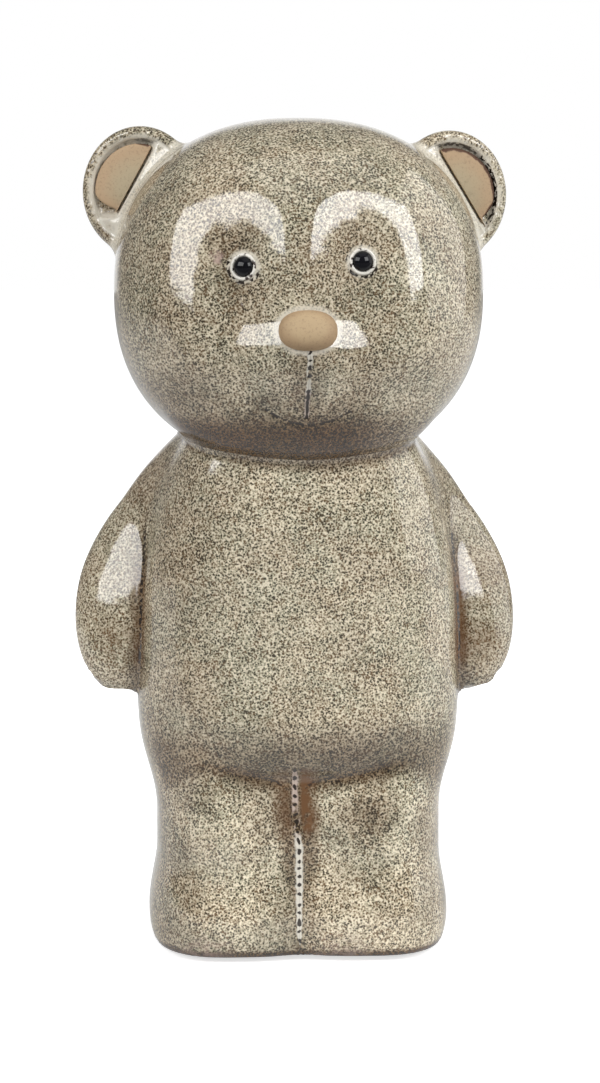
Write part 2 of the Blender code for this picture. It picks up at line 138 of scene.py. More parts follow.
@dataclass(frozen=True)
class Form:
    """A rounded form: how far it reaches each way, and how square its curves are, where 2 is an ellipse."""

    centre: tuple[float, float, float]
    left: float
    right: float
    front: float
    back: float
    top: float
    bottom: float
    plan_left: float = 2.0
    plan_right: float = 2.0
    crown: float = 2.0
    base: float = 2.0
    lean: float = 0.0
    soft: float = 0.0

    def surface(self, way: Vector) -> Vector:
        """The surface point that lies this way from the centre, measured from the centre.

        Args:
            way: A way out of the centre, of length 1.

        Returns:
            The surface point.
        """
        plan = self.plan_left if way.x > 0 else self.plan_right
        side = self.left if way.x > 0 else self.right
        rise = self.crown if way.z > 0 else self.base
        girth = (abs(way.x) ** plan + abs(way.y) ** plan) ** (rise / plan)
        reach = (girth + abs(way.z) ** rise) ** (-1 / rise)
        depth = self.front if way.y < 0 else self.back
        height = self.top if way.z > 0 else self.bottom
        point = Vector((way.x * side, way.y * depth, way.z * height)) * reach
        return point + Vector((self.lean * point.z, 0, 0))

    def distance(self, points: np.ndarray) -> np.ndarray:
        """Distance from the surface, negative inside, of points measured from the centre.

        Args:
            points: Places measured from the centre, one row each.

        Returns:
            One distance for each point.
        """
        x = points[:, 0] - self.lean * points[:, 2]
        y, z = points[:, 1], points[:, 2]
        plan = np.where(x > 0, self.plan_left, self.plan_right)
        rise = np.where(z > 0, self.crown, self.base)
        wide = np.where(x > 0, self.left, self.right)
        deep = np.where(y < 0, self.front, self.back)
        tall = np.where(z > 0, self.top, self.bottom)
        u, v, w = np.abs(x) / wide, np.abs(y) / deep, np.hypot(z / tall, self.soft)
        girth = np.maximum((u ** plan + v ** plan + self.soft ** plan) ** (1 / plan), 1e-9)
        level = np.maximum((girth ** rise + w ** rise) ** (1 / rise), 1e-9)
        level /= (1 + self.soft ** rise) ** (1 / rise)
        around = (girth / level) ** (rise - 1)
        slope_x = around * (u / girth) ** (plan - 1) / wide
        slope_y = around * (v / girth) ** (plan - 1) / deep
        slope_z = (w / level) ** (rise - 1) / tall
        return (level - 1) / np.sqrt(slope_x ** 2 + slope_y ** 2 + slope_z ** 2)

    def rough(self) -> Shape:
        """The plain form as a closed mesh in its place.

        Returns:
            A closed shape with its points on the form.
        """
        shape = bmesh.new()
        bmesh.ops.create_uvsphere(shape, u_segments=96, v_segments=64, radius=1.0)
        for vert in shape.verts:
            vert.co = self.surface(vert.co) + Vector(self.centre)
        return shape


# Meshes


def mesh_from(shape: Shape, name: str) -> bpy.types.Mesh:
    """Makes a mesh of a finished shape and frees the shape.

    Args:
        shape: The finished shape, which can't be used afterwards.
        name: The mesh's name.

    Returns:
        The mesh.
    """
    mesh = bpy.data.meshes.new(name)
    shape.to_mesh(mesh)
    shape.free()
    return mesh


def joined(shapes: Sequence[Shape]) -> Shape:
    """Puts several shapes into the first of them, as loose bodies.

    Args:
        shapes: The shapes, of which all but the first are freed.

    Returns:
        The first shape, with the others in it.
    """
    first, *others = shapes
    for other in others:
        mesh = mesh_from(other, "joined")
        first.from_mesh(mesh)
        bpy.data.meshes.remove(mesh)
    return first


def fused(shape: Shape, voxel: float) -> Shape:
    """Fuses overlapping bodies into one even skin of small faces.

    Args:
        shape: Closed bodies that overlap, freed once they are fused.
        voxel: The size of the new faces.

    Returns:
        One skin round all of them.
    """
    thing = bpy.data.objects.new("rough_forms", mesh_from(shape, "rough_forms"))
    bpy.context.scene.collection.objects.link(thing)
    remesh = thing.modifiers.new("fuse", "REMESH")
    remesh.mode = "VOXEL"
    remesh.voxel_size = voxel
    evaluated = thing.evaluated_get(bpy.context.evaluated_depsgraph_get())
    skin = bmesh.new()
    skin.from_mesh(evaluated.to_mesh())
    evaluated.to_mesh_clear()
    bpy.data.objects.remove(thing, do_unlink=True)
    return skin


def points_of(shape: Shape) -> np.ndarray:
    """The places of all points of a shape, one row each."""
    return np.array([vert.co[:] for vert in shape.verts])


def settle(shape: Shape, distance: Distance, rounds: int) -> None:
    """Spreads the points of a skin evenly and moves them onto the surface that a distance describes.

    Args:
        shape: The skin, already near the surface.
        distance: Gives the distance from the surface, negative inside.
        rounds: How often the points are spread and moved.
    """
    step, flattest, longest = 0.00002, 0.05, 0.002
    for _ in range(rounds):
        bmesh.ops.smooth_vert(
            shape, verts=shape.verts, factor=0.5, use_axis_x=True, use_axis_y=True, use_axis_z=True
        )
        points = points_of(shape)
        for _ in range(3):
            here = distance(points)
            slope = np.stack([(distance(points + np.eye(3)[i] * step) - here) / step for i in range(3)], 1)
            steepness = np.maximum((slope ** 2).sum(1), flattest)
            move = slope * (here / steepness)[:, None]
            length = np.maximum(np.linalg.norm(move, axis=1), 1e-12)
            points = points - move * np.minimum(1, longest / length)[:, None]
        for vert, point in zip(shape.verts, points):
            vert.co = point


def refine(shape: Shape, near: Callable[[np.ndarray], np.ndarray]) -> None:
    """Halves the faces of a skin wherever its points are near fine detail.

    Args:
        shape: The skin.
        near: Marks which of the given points are near fine detail.
    """
    chosen = near(points_of(shape))
    shape.verts.index_update()
    edges = [edge for edge in shape.edges if chosen[edge.verts[0].index] and chosen[edge.verts[1].index]]
    bmesh.ops.subdivide_edges(shape, edges=edges, cuts=1, use_grid_fill=True)


def store(mesh: bpy.types.Mesh, name: str, values: np.ndarray) -> None:
    """Keeps one number for each point of a mesh, for its material to read."""
    layer = mesh.attributes.new(name, "FLOAT", "POINT")
    layer.data.foreach_set("value", np.clip(values, 0, 1).astype(np.float32))


def store_offset(mesh: bpy.types.Mesh, name: str, offset: np.ndarray) -> None:
    """Keeps how far each point lies to one side of a line, with 0.5 on it and 0 or 1 from 4 mm away on."""
    store(mesh, name, 0.5 + offset / OFFSET_SPAN)


def add_piece(name: str, mesh: bpy.types.Mesh, finish: bpy.types.Material, slot: Slot, *nodes: str) -> None:
    """Adds a finished piece that rides on the bear and stands for the given CAD nodes.

    Args:
        name: The piece's name.
        mesh: Its mesh, in its place.
        finish: Its material.
        slot: The slot for that material; not used.
        *nodes: The CAD nodes that the piece stands for.
    """
    mesh.polygons.foreach_set("use_smooth", [True] * len(mesh.polygons))
    mesh.materials.append(finish)
    piece = bpy.data.objects.new(name, mesh)
    bpy.context.scene.collection.objects.link(piece)
    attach(piece, "root")
    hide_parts(*nodes)
    sizes = len(mesh.vertices), len(mesh.polygons)
    LOG.info("%s: %d points, %d faces, for %s", name, *sizes, ", ".join(nodes))


# Shader nodes


@dataclass
class Tree:
    """A short way to write a material's or a group's nodes and links."""

    nodes: bpy.types.Nodes
    links: bpy.types.NodeLinks

    @classmethod
    def of(cls, owner: bpy.types.NodeTree) -> "Tree":
        """The tree of a material or of a group."""
        return cls(owner.nodes, owner.links)

    def add(self, kind: str, inputs: dict | None = None, **settings: object) -> bpy.types.Node:
        """Adds a node, sets its options, and sets or links its inputs.

        Args:
            kind: The node's type without its ShaderNode prefix.
            inputs: A value or a socket for each input, by name or number.
            **settings: The node's options.

        Returns:
            The new node.
        """
        node = self.nodes.new("ShaderNode" + kind)
        for name, value in settings.items():
            setattr(node, name, value)
        for key, value in (inputs or {}).items():
            if isinstance(value, Socket):
                self.links.new(value, node.inputs[key])
            else:
                node.inputs[key].default_value = value
        return node

    def maths(self, operation: str, first: object, second: object = 0.0) -> Socket:
        """One step of arithmetic."""
        return self.add("Math", {0: first, 1: second}, operation=operation).outputs[0]

    def plus(self, first: object, second: object) -> Socket:
        """The sum of two values."""
        return self.maths("ADD", first, second)

    def minus(self, first: object, second: object) -> Socket:
        """The first value less the second."""
        return self.maths("SUBTRACT", first, second)

    def times(self, first: object, second: object) -> Socket:
        """The product of two values."""
        return self.maths("MULTIPLY", first, second)

    def larger(self, first: object, second: object) -> Socket:
        """The larger of two values."""
        return self.maths("MAXIMUM", first, second)

    def between(self, value: object, low: object, high: object) -> Socket:
        """Rises smoothly from 0 at low to 1 at high."""
        sockets = {"Value": value, "From Min": low, "From Max": high}
        return self.add("MapRange", sockets, interpolation_type="SMOOTHSTEP").outputs["Result"]

    def mix(self, share: object, first: object, second: object, blend: str = "MIX") -> Socket:
        """Mixes two colours.

        Args:
            share: The share of the second colour, as a value or a socket.
            first: The first colour, as three numbers or a socket.
            second: The second colour, as three numbers or a socket.
            blend: How the second colour is laid over the first.

        Returns:
            The mixed colour.
        """
        node = self.add("Mix", data_type="RGBA", blend_type=blend)
        for key, value in (("Factor", share), (6, first), (7, second)):
            socket = node.inputs[key]
            if isinstance(value, Socket):
                self.links.new(value, socket)
            elif isinstance(value, tuple):
                socket.default_value = (*value, 1)
            else:
                socket.default_value = value
        return node.outputs[2]

    def noise(self, place: object, scale: float, detail: float, rough: float) -> Socket:
        """A cloudy noise of a given fineness."""
        sockets = {"Vector": place, "Scale": scale, "Detail": detail, "Roughness": rough}
        return self.add("TexNoise", sockets).outputs["Fac"]

    def stored(self, name: str) -> Socket:
        """A number that the mesh keeps for each of its points."""
        return self.add("Attribute", attribute_name=name).outputs["Fac"]

    def millimetres_off(self, name: str) -> Socket:
        """How many millimetres a point lies off a line, from an offset that the mesh keeps."""
        off = self.maths("ABSOLUTE", self.minus(self.stored(name), 0.5))
        return self.times(off, OFFSET_SPAN * 1000)


def new_group(
    name: str, inputs: dict[str, str], outputs: dict[str, str]
) -> tuple[bpy.types.NodeTree, Tree, bpy.types.Node, bpy.types.Node]:
    """Starts a node group with named inputs and outputs, each given with its socket's kind.

    Args:
        name: The group's name.
        inputs: The kind of each input socket, by its name.
        outputs: The kind of each output socket, by its name.

    Returns:
        The group, its tree, and the nodes where values enter and leave it.
    """
    group = bpy.data.node_groups.new(name, "ShaderNodeTree")
    for in_out, sockets in (("INPUT", inputs), ("OUTPUT", outputs)):
        for title, kind in sockets.items():
            group.interface.new_socket(title, in_out=in_out, socket_type="NodeSocket" + kind)
    tree = Tree.of(group)
    entry = group.nodes.new("NodeGroupInput")
    leave = group.nodes.new("NodeGroupOutput")
    return group, tree, entry, leave


def new_material(name: str) -> tuple[bpy.types.Material, Tree, bpy.types.Node]:
    """Starts a material and gives its tree and its shader.

    Args:
        name: The material's name.

    Returns:
        The material, its tree and its shader.
    """
    material = bpy.data.materials.new(name)
    material.use_nodes = True
    shader = material.node_tree.nodes["Principled BSDF"]
    return material, Tree.of(material.node_tree), shader


def speckle_group() -> bpy.types.NodeTree:
    """Iron specks that burst through a glaze, and the pale glaze that gathers between them.

    Returns:
        The group. A place, a fineness and a density go in, and shares of specks and of pale gaps come out.
    """
    inputs = {"Place": "Vector", "Fineness": "Float", "Density": "Float"}
    group, tree, entry, leave = new_group("iron_specks", inputs, {"Specks": "Float", "Gaps": "Float"})
    place, fineness, density = entry.outputs["Place"], entry.outputs["Fineness"], entry.outputs["Density"]
    cell_fineness, crowd_scale = 0.72, 110.0
    grain_share, dot_share, crowd_share = 0.62, 0.40, 0.16
    grain = tree.noise(place, 1.0, 1.0, 0.6)
    tree.links.new(fineness, grain.node.inputs["Scale"])
    cells = tree.add("TexVoronoi", {"Vector": place, "Scale": tree.times(fineness, cell_fineness)})
    crowd = tree.noise(place, crowd_scale, 3.0, 0.6)
    level = tree.times(tree.minus(grain, 0.5), grain_share)
    dots = tree.times(tree.minus(0.52, cells.outputs["Distance"]), dot_share)
    lift = tree.times(tree.minus(crowd, 0.5), crowd_share)
    level = tree.plus(tree.plus(level, dots), tree.plus(lift, density))
    tree.links.new(tree.between(level, 0.008, 0.105), leave.inputs["Specks"])
    tree.links.new(tree.between(level, -0.015, -0.135), leave.inputs["Gaps"])
    return group


def ripple_group() -> bpy.types.NodeTree:
    """The uneven skin of a hand-dipped glaze or of fired clay, as a height for a bump.

    Returns:
        The group. A place and the shares of waves and grain go in, and a height comes out.
    """
    group, tree, entry, leave = new_group(
        "uneven_skin", {"Place": "Vector", "Waves": "Float", "Grain": "Float"}, {"Height": "Float"}
    )
    place = entry.outputs["Place"]
    wave_scale, grain_scale = 140.0, 1500.0
    waves = tree.noise(place, wave_scale, 2.0, 0.5)
    grain = tree.noise(place, grain_scale, 2.0, 0.6)
    waves = tree.times(waves, entry.outputs["Waves"])
    grain = tree.times(grain, entry.outputs["Grain"])
    height = tree.plus(waves, grain)
    tree.links.new(height, leave.inputs["Height"])
    return group


# Finishes


def add_uneven_skin(
    tree: Tree, shader: bpy.types.Node, place: Socket, skin: bpy.types.NodeTree,
    waves: float, grain: float, strength: float, depth: float,
) -> None:
    """Gives a shader the uneven skin of glaze or clay.

    Args:
        tree: The material's tree.
        shader: The shader that gets the bump.
        place: Where each point of the surface is.
        skin: The group that makes the height.
        waves: Share of the slow waves.
        grain: Share of the fine grain.
        strength: How strong the bump is.
        depth: How deep it is.
    """
    uneven = tree.add("Group", {}, node_tree=skin)
    tree.links.new(place, uneven.inputs["Place"])
    uneven.inputs["Waves"].default_value = waves
    uneven.inputs["Grain"].default_value = grain
    bump = tree.add("Bump", {"Strength": strength, "Distance": depth, "Height": uneven.outputs["Height"]})
    tree.links.new(bump.outputs["Normal"], shader.inputs["Normal"])


@dataclass(frozen=True)
class SpeckledGlaze:
    """Glossy celadon-beige glaze over iron specks; it is darker and browner in hollows, creases and on the
    bear's right side, as painted shade over browner glaze, and pools pale in seams, where some pale lines are
    painted highlights.
    """

    name: str = "speckled_glaze"
    cream: Colour = (0.80, 0.725, 0.565)
    beige: Colour = (0.445, 0.375, 0.262)
    celadon: Colour = (0.385, 0.36, 0.256)
    speck: Colour = (0.028, 0.020, 0.012)
    speck_brown: Colour = (0.125, 0.072, 0.034)
    # Tint for the painted shade in hollows, creases and on the bear's right side, over browner glaze.
    shade_and_stain_tint: Colour = (0.235, 0.145, 0.078)
    rust: Colour = (0.135, 0.062, 0.022)
    blush: Colour = (0.46, 0.335, 0.285)
    # Pale glaze where it gathers, also used for painted highlights along the ears, the leg groove and the
    # right leg.
    pooled_and_sheen: Colour = (0.70, 0.665, 0.58)
    crack: Colour = (0.022, 0.015, 0.010)
    fineness: float = 2050.0
    roughness: float = 0.09
    ior: float = 1.65
    cloud_scale: float = 48.0
    foot_cloud_scale: float = 62.0
    patch_scale: float = 85.0
    wander_scale: float = 300.0
    gap_scale: float = 330.0
    edge_scale: float = 420.0
    brown_scale: float = 620.0
    dash_scale: float = 1000.0
    patch_dark: Colour = (0.92, 0.915, 0.91)
    patch_light: Colour = (1.07, 1.07, 1.07)
    foot_dark: Colour = (0.80, 0.79, 0.775)
    foot_light: Colour = (1.14, 1.14, 1.14)
    foot_levels: tuple[float, float] = (0.085, 0.050)
    shade_and_stain_density: float = 0.05
    pool_and_sheen_density: float = 0.16
    bead_pitch: float = 0.0026

    def ground(self, tree: Tree, place: Socket, specks: bpy.types.NodeTree) -> Socket:
        """The clouded glaze with its specks, browner and darker where the mesh keeps painted shade over
        browner glaze.

        Args:
            tree: The material's tree.
            place: Where each point of the surface is.
            specks: The group that makes the iron specks.

        Returns:
            The glaze's colour without its seams.
        """
        shade_and_stain, pool_and_sheen = tree.stored("shade_and_stain"), tree.stored("pool_and_sheen")
        grains = tree.add("Group", {}, node_tree=specks)
        tree.links.new(place, grains.inputs["Place"])
        grains.inputs["Fineness"].default_value = self.fineness
        # Specks crowd where shade is painted and thin out where glaze gathers pale or a highlight is painted.
        density = tree.minus(tree.times(shade_and_stain, self.shade_and_stain_density), tree.times(pool_and_sheen, self.pool_and_sheen_density))
        tree.links.new(density, grains.inputs["Density"])
        clouds = tree.noise(place, self.cloud_scale, 4.0, 0.62)
        colour = tree.mix(tree.between(clouds, 0.38, 0.62), self.celadon, self.beige)
        colour = tree.mix(tree.times(grains.outputs["Gaps"], 0.85), colour, self.cream)
        warmth = tree.between(tree.noise(place, self.brown_scale, 2.0, 0.5), 0.44, 0.62)
        dark = tree.mix(warmth, self.speck, self.speck_brown)
        colour = tree.mix(tree.times(grains.outputs["Specks"], 0.92), colour, dark)
        patches = tree.between(tree.noise(place, self.patch_scale, 3.0, 0.6), 0.3, 0.7)
        shade = tree.mix(patches, self.patch_dark, self.patch_light)
        colour = tree.mix(1.0, colour, shade, "MULTIPLY")
        low = tree.between(tree.add("SeparateXYZ", {"Vector": place}).outputs["Z"], *self.foot_levels)
        broad = tree.between(tree.noise(place, self.foot_cloud_scale, 3.0, 0.55), 0.36, 0.64)
        clouded = tree.mix(broad, self.foot_dark, self.foot_light)
        colour = tree.mix(low, colour, tree.mix(1.0, colour, clouded, "MULTIPLY"))
        # This tint darkens the glaze where shade is painted on it.
        tint = tree.mix(shade_and_stain, (1.0, 1.0, 1.0), self.shade_and_stain_tint)
        return tree.mix(1.0, colour, tint, "MULTIPLY")

    def seams(self, tree: Tree, place: Socket, colour: Socket) -> Socket:
        """Rust, pale gathered glaze and painted highlights, cracks with their beads of black, and broken
        dashes over the ground.

        Args:
            tree: The material's tree.
            place: Where each point of the surface is.
            colour: The ground's colour.

        Returns:
            The glaze's whole colour.
        """
        fine = tree.noise(place, self.edge_scale, 3.0, 0.6)
        pool_and_sheen, wide = tree.stored("pool_and_sheen"), tree.stored("crack_width")
        colour = tree.mix(tree.times(tree.stored("rust"), tree.between(fine, 0.22, 0.56)), colour, self.rust)
        colour = tree.mix(tree.times(tree.stored("blush"), tree.between(fine, 0.35, 0.6)), colour, self.blush)
        # Pale gathered glaze, and painted highlights from the same attribute.
        colour = tree.mix(tree.times(pool_and_sheen, tree.between(fine, 0.20, 0.42)), colour, self.pooled_and_sheen)
        off = tree.millimetres_off("crack")
        ragged = tree.times(wide, tree.plus(tree.times(fine, 3.8), 0.1))
        border = tree.between(off, ragged, tree.times(ragged, 0.55))
        gaps = tree.between(tree.noise(place, self.gap_scale, 1.0, 0.5), 0.36, 0.46)
        gaps = tree.larger(gaps, tree.between(wide, 0.56, 0.62))
        border = tree.times(tree.times(border, gaps), tree.between(wide, 0.02, 0.10))
        # The crack's pale border is partly a painted highlight, brightest low in the leg groove.
        pale = tree.mix(tree.stored("crack_bright"), self.blush, self.pooled_and_sheen)
        colour = tree.mix(tree.times(border, 0.9), colour, pale)
        height = tree.add("SeparateXYZ", {"Vector": place}).outputs["Z"]
        wander = tree.times(tree.noise(place, self.wander_scale, 1.0, 0.5), 9.0)
        chain = tree.maths("SINE", tree.plus(tree.times(height, 2 * math.pi / self.bead_pitch), wander))
        beads = tree.between(chain, tree.minus(0.30, tree.times(tree.stored("crack_open"), 10.0)), 0.85)
        thick = tree.plus(tree.times(beads, tree.plus(tree.times(fine, 1.3), 0.10)), 0.02)
        core = tree.between(off, thick, tree.times(thick, 0.45))
        colour = tree.mix(tree.times(core, tree.between(wide, 0.02, 0.10)), colour, self.crack)
        # Dark dashes; along the body's creases they are painted shade lines.
        off = tree.millimetres_off("dash")
        broken = tree.between(tree.noise(place, self.dash_scale, 0.0, 0.5), 0.46, 0.53)
        dash = tree.times(tree.between(off, 0.60, 0.30), tree.times(broken, tree.stored("dash_share")))
        return tree.mix(dash, colour, self.crack)

    def material(self, specks: bpy.types.NodeTree, skin: bpy.types.NodeTree) -> bpy.types.Material:
        """Builds the glaze from the shared groups.

        Args:
            specks: The group that makes the iron specks.
            skin: The group that makes the uneven skin.

        Returns:
            The finished material.
        """
        material, tree, shader = new_material(self.name)
        place = tree.add("TexCoord").outputs["Object"]
        colour = self.seams(tree, place, self.ground(tree, place, specks))
        tree.links.new(colour, shader.inputs["Base Color"])
        shader.inputs["Roughness"].default_value = self.roughness
        shader.inputs["IOR"].default_value = self.ior
        add_uneven_skin(tree, shader, place, skin, 1.0, 0.10, 0.25, 0.0006)
        return material


@dataclass(frozen=True)
class BareClay:
    """Unglazed tan clay, a little greener in its middle and burnt orange towards its edge."""

    name: str
    middle: Colour = (0.42, 0.345, 0.225)
    edge: Colour = (0.44, 0.31, 0.19)
    burnt: Colour = (0.085, 0.038, 0.020)
    roughness: float = 0.72
    cloud_scale: float = 260.0
    grain_scale: float = 1600.0

    def material(self, skin: bpy.types.NodeTree) -> bpy.types.Material:
        """Builds the clay, which reads from its mesh how near its edge is.

        Args:
            skin: The group that makes the uneven skin.

        Returns:
            The finished material.
        """
        material, tree, shader = new_material(self.name)
        place = tree.add("TexCoord").outputs["Object"]
        rim = tree.stored("rim")
        clouds = tree.noise(place, self.cloud_scale, 3.0, 0.6)
        fine = tree.noise(place, self.grain_scale, 2.0, 0.6)
        wander = tree.plus(rim, tree.times(tree.minus(clouds, 0.5), 0.35))
        colour = tree.mix(tree.between(wander, 0.35, 0.95), self.middle, self.edge)
        colour = tree.mix(tree.times(tree.between(fine, 0.52, 0.70), 0.22), colour, self.burnt)
        ragged = tree.plus(rim, tree.times(tree.minus(clouds, 0.5), 0.16))
        burnt = tree.between(tree.plus(ragged, tree.times(tree.stored("burnt"), 0.10)), 1.02, 1.06)
        colour = tree.mix(burnt, colour, self.burnt)
        tree.links.new(colour, shader.inputs["Base Color"])
        shader.inputs["Roughness"].default_value = self.roughness
        add_uneven_skin(tree, shader, place, skin, 0.4, 0.8, 0.35, 0.0003)
        return material


@dataclass(frozen=True)
class PlainGlaze:
    """A glossy glaze of one colour with a little cloud in it."""

    name: str
    light: Colour
    dark: Colour
    roughness: float
    dots: float = 0.0
    shine: float = 0.5
    cloud_scale: float = 700.0

    def material(self, skin: bpy.types.NodeTree) -> bpy.types.Material:
        """Builds the glaze.

        Args:
            skin: The group that makes the uneven skin.

        Returns:
            The finished material.
        """
        material, tree, shader = new_material(self.name)
        place = tree.add("TexCoord").outputs["Object"]
        clouds = tree.noise(place, self.cloud_scale, 2.0, 0.5)
        share = tree.between(clouds, 0.60 - self.dots, 0.68 - self.dots)
        tree.links.new(tree.mix(share, self.light, self.dark), shader.inputs["Base Color"])
        shader.inputs["Roughness"].default_value = self.roughness
        shader.inputs["Specular IOR Level"].default_value = self.shine
        add_uneven_skin(tree, shader, place, skin, 0.4, 0.05, 0.1, 0.0003)
        return material


@dataclass(frozen=True)
class Felt:
    """Dark pressed felt with loose hairs."""

    name: str = "pressed_felt"
    light: Colour = (0.125, 0.085, 0.055)
    dark: Colour = (0.045, 0.030, 0.020)
    hair_scale: float = 1800.0
    roughness: float = 0.95

    def material(self) -> bpy.types.Material:
        """Builds the felt.

        Returns:
            The finished material.
        """
        material, tree, shader = new_material(self.name)
        place = tree.add("TexCoord").outputs["Object"]
        stretched = tree.add("Mapping", {"Vector": place, "Scale": (1.0, 3.0, 1.0)}).outputs["Vector"]
        hairs = tree.noise(stretched, self.hair_scale, 4.0, 0.7)
        colour = tree.mix(tree.between(hairs, 0.35, 0.65), self.dark, self.light)
        tree.links.new(colour, shader.inputs["Base Color"])
        shader.inputs["Roughness"].default_value = self.roughness
        bump = tree.add("Bump", {"Strength": 0.6, "Distance": 0.0003, "Height": hairs})
        tree.links.new(bump.outputs["Normal"], shader.inputs["Normal"])
        return material


# The head


@dataclass
class Ear:
    """One ear: a turned cup that faces forwards, and the bare clay that lines it."""

    side: Side
    head: tuple[float, float, float]
    head_width: float
    width: float = 0.0334
    height: float = 0.0372
    front: float = 0.0036
    dome: float = 0.0075
    rim: float = 0.0036
    recess: float = 0.0032
    glazed_recess: float = 0.0006
    sink: float = 0.0078
    lift: float = 0.0286
    setback: float = 0.0060
    turn: float = math.radians(8)
    fit: float = 0.0003
    lining: float = 0.0016
    crown: float = 0.0004
    lining_head: float = 0.95
    lining_corner: float = 0.0014
    left_nearer: float = 0.0010
    left_lower: float = 0.0012
    left_foot: float = 0.64
    right_foot: float = 0.42
    left_cut: tuple[float, float] = (0.0044, 0.69)
    right_cut: tuple[float, float] = (0.0032, 0.62)

    @property
    def centre(self) -> Vector:
        """Where the cup's axis and its widest plane meet; the left one is set a little lower and nearer.

        Returns:
            The place in the scene.
        """
        nearer, lower = (self.left_nearer, self.left_lower) if self.side is Side.LEFT else (0.0, 0.0)
        across = self.side.value * (self.head_width / 2 - self.sink - nearer)
        return Vector(self.head) + Vector((across, self.setback, self.lift - lower))

    @property
    def lining_foot(self) -> float:
        """How much of its lower half the lining keeps."""
        return self.left_foot if self.side is Side.LEFT else self.right_foot

    def beside(self, across: np.ndarray, up: np.ndarray) -> np.ndarray:
        """How far outwards of the slanting line beside the head, where the lining ends."""
        foot, slant = self.left_cut if self.side is Side.LEFT else self.right_cut
        return self.side.value * across - foot + slant * up

    def place(self, shape: Shape) -> None:
        """Turns a shape that faces forwards into the ear's way and moves it to its place.

        Args:
            shape: The shape, built round the world's origin.
        """
        turn = Matrix.Rotation(self.side.value * self.turn, 3, "Z")
        bmesh.ops.rotate(shape, verts=shape.verts, matrix=turn)
        bmesh.ops.translate(shape, verts=shape.verts, vec=self.centre)

    def own(self, points: np.ndarray) -> tuple[np.ndarray, np.ndarray, np.ndarray]:
        """Turns points into the ear's own measures: across, up (drawn to a circle) and forwards.

        Args:
            points: Places in the scene, one row each.

        Returns:
            The three measures, one number of each for each point.
        """
        angle = self.side.value * self.turn
        x, y = points[:, 0] - self.centre.x, points[:, 1] - self.centre.y
        across = x * math.cos(angle) + y * math.sin(angle)
        forwards = x * math.sin(angle) - y * math.cos(angle)
        up = (points[:, 2] - self.centre.z) * self.width / self.height
        return across, up, forwards

    def distance(self, points: np.ndarray) -> np.ndarray:
        """Distance from the cup: a dome behind, a round rim in front, and a recess inside the rim.

        Args:
            points: Places in the scene, one row each.

        Returns:
            One distance for each point, negative inside.
        """
        across, up, forwards = self.own(points)
        spread = np.hypot(across, up)
        radius = self.width / 2
        lip = radius - self.rim / 2
        foot = self.lining_foot * (self.width / 2 - self.rim)
        glazed = np.maximum(ramp(up, -foot, -foot - 0.0020), ramp(self.beside(across, up), -0.0001, -0.0010))
        floor = self.front - self.recess + (self.recess - self.glazed_recess) * glazed
        scale_h = np.where(forwards < 0, self.dome, self.front)
        behind = np.hypot(spread / radius, forwards / scale_h)
        slope = np.hypot(spread / radius ** 2, forwards / scale_h ** 2) / np.maximum(behind, 1e-6)
        dome = (behind - 1) / np.maximum(slope, 1e-6)
        u, v = (spread - lip) / (self.rim / 2), forwards / self.front
        round_lip = np.hypot(u, v)
        slope = np.hypot(u / (self.rim / 2), v / self.front) / np.maximum(round_lip, 1e-6)
        bead = (round_lip - 1) / np.maximum(slope, 1e-6)
        plate = forwards - floor
        front = np.where(spread > lip, bead, np.minimum(bead, np.maximum(plate, spread - lip)))
        return np.where(forwards < 0, dome, front)

    def rough(self) -> Shape:
        """A plain lens in the cup's place, from which its skin settles.

        Returns:
            A closed shape that the cup's skin starts from.
        """
        shape = bmesh.new()
        bmesh.ops.create_uvsphere(shape, u_segments=64, v_segments=32, radius=1.0)
        for vert in shape.verts:
            forwards = vert.co.y * (self.front if vert.co.y < 0 else self.dome)
            vert.co = Vector((vert.co.x * self.width / 2, forwards, vert.co.z * self.height / 2))
        self.place(shape)
        return shape

    def add_lining(self, clay: bpy.types.Material) -> None:
        """Turns the lining from its outline and lays it in the recess.

        Args:
            clay: The bare clay that it is made of.
        """
        bed = self.front - self.recess + self.fit
        face = bed + self.lining
        reach = self.width / 2 - self.rim - self.fit
        shape = bmesh.new()
        outline = [(0.0, face + self.crown)]
        for i in range(1, 12):
            share = math.sin(math.pi / 2 * i / 12)
            outline.append((reach * share * 0.97, face + self.crown * math.sqrt(1 - share ** 2)))
        outline += [(reach * 0.985, face - 0.0001), (reach, face - 0.0003), (reach, bed), (0.0, bed)]
        verts = [shape.verts.new((spread, -forwards, 0)) for spread, forwards in outline]
        edges = [shape.edges.new(pair) for pair in zip(verts, verts[1:])]
        bmesh.ops.spin(
            shape, geom=verts + edges, cent=(0, 0, 0), axis=(0, 1, 0), angle=2 * math.pi, steps=96,
            use_merge=True,
        )
        bmesh.ops.remove_doubles(shape, verts=shape.verts, dist=MERGE_DISTANCE)
        bmesh.ops.recalc_face_normals(shape, faces=shape.faces)
        points = points_of(shape)
        rim = np.hypot(points[:, 0], points[:, 2]) / reach
        bmesh.ops.scale(shape, verts=shape.verts, vec=(1, 1, self.height / self.width))
        for vert in shape.verts:
            vert.co.z *= self.lining_foot if vert.co.z < 0 else self.lining_head
            short = float(self.beside(np.array(vert.co.x), np.array(vert.co.z * self.width / self.height)))
            past = short - 0.0002
            vert.co.x -= self.side.value * (past - math.hypot(past, self.lining_corner)) / 2
            rim[vert.index] = min(rim[vert.index], 0.88) if short < 0.0002 else rim[vert.index]
        self.place(shape)
        name = f"{self.side.word}_ear_clay"
        mesh = mesh_from(shape, name)
        store(mesh, "rim", rim)
        outwards = self.side.value * points[:, 0]
        if self.side is Side.LEFT:
            corner = np.maximum(ramp(points[:, 2], 0.004, 0.009), ramp(outwards, 0.006, 0.010)) * 1.3
        else:
            corner = ramp(points[:, 2], 0.004, 0.010) * ramp(outwards, 0.004, -0.002) * 0.9
        store(mesh, "burnt", corner / 1.3)
        add_piece(name, mesh, clay, Slot.BARE_CLAY, f"{self.side.word}_ear_lining")


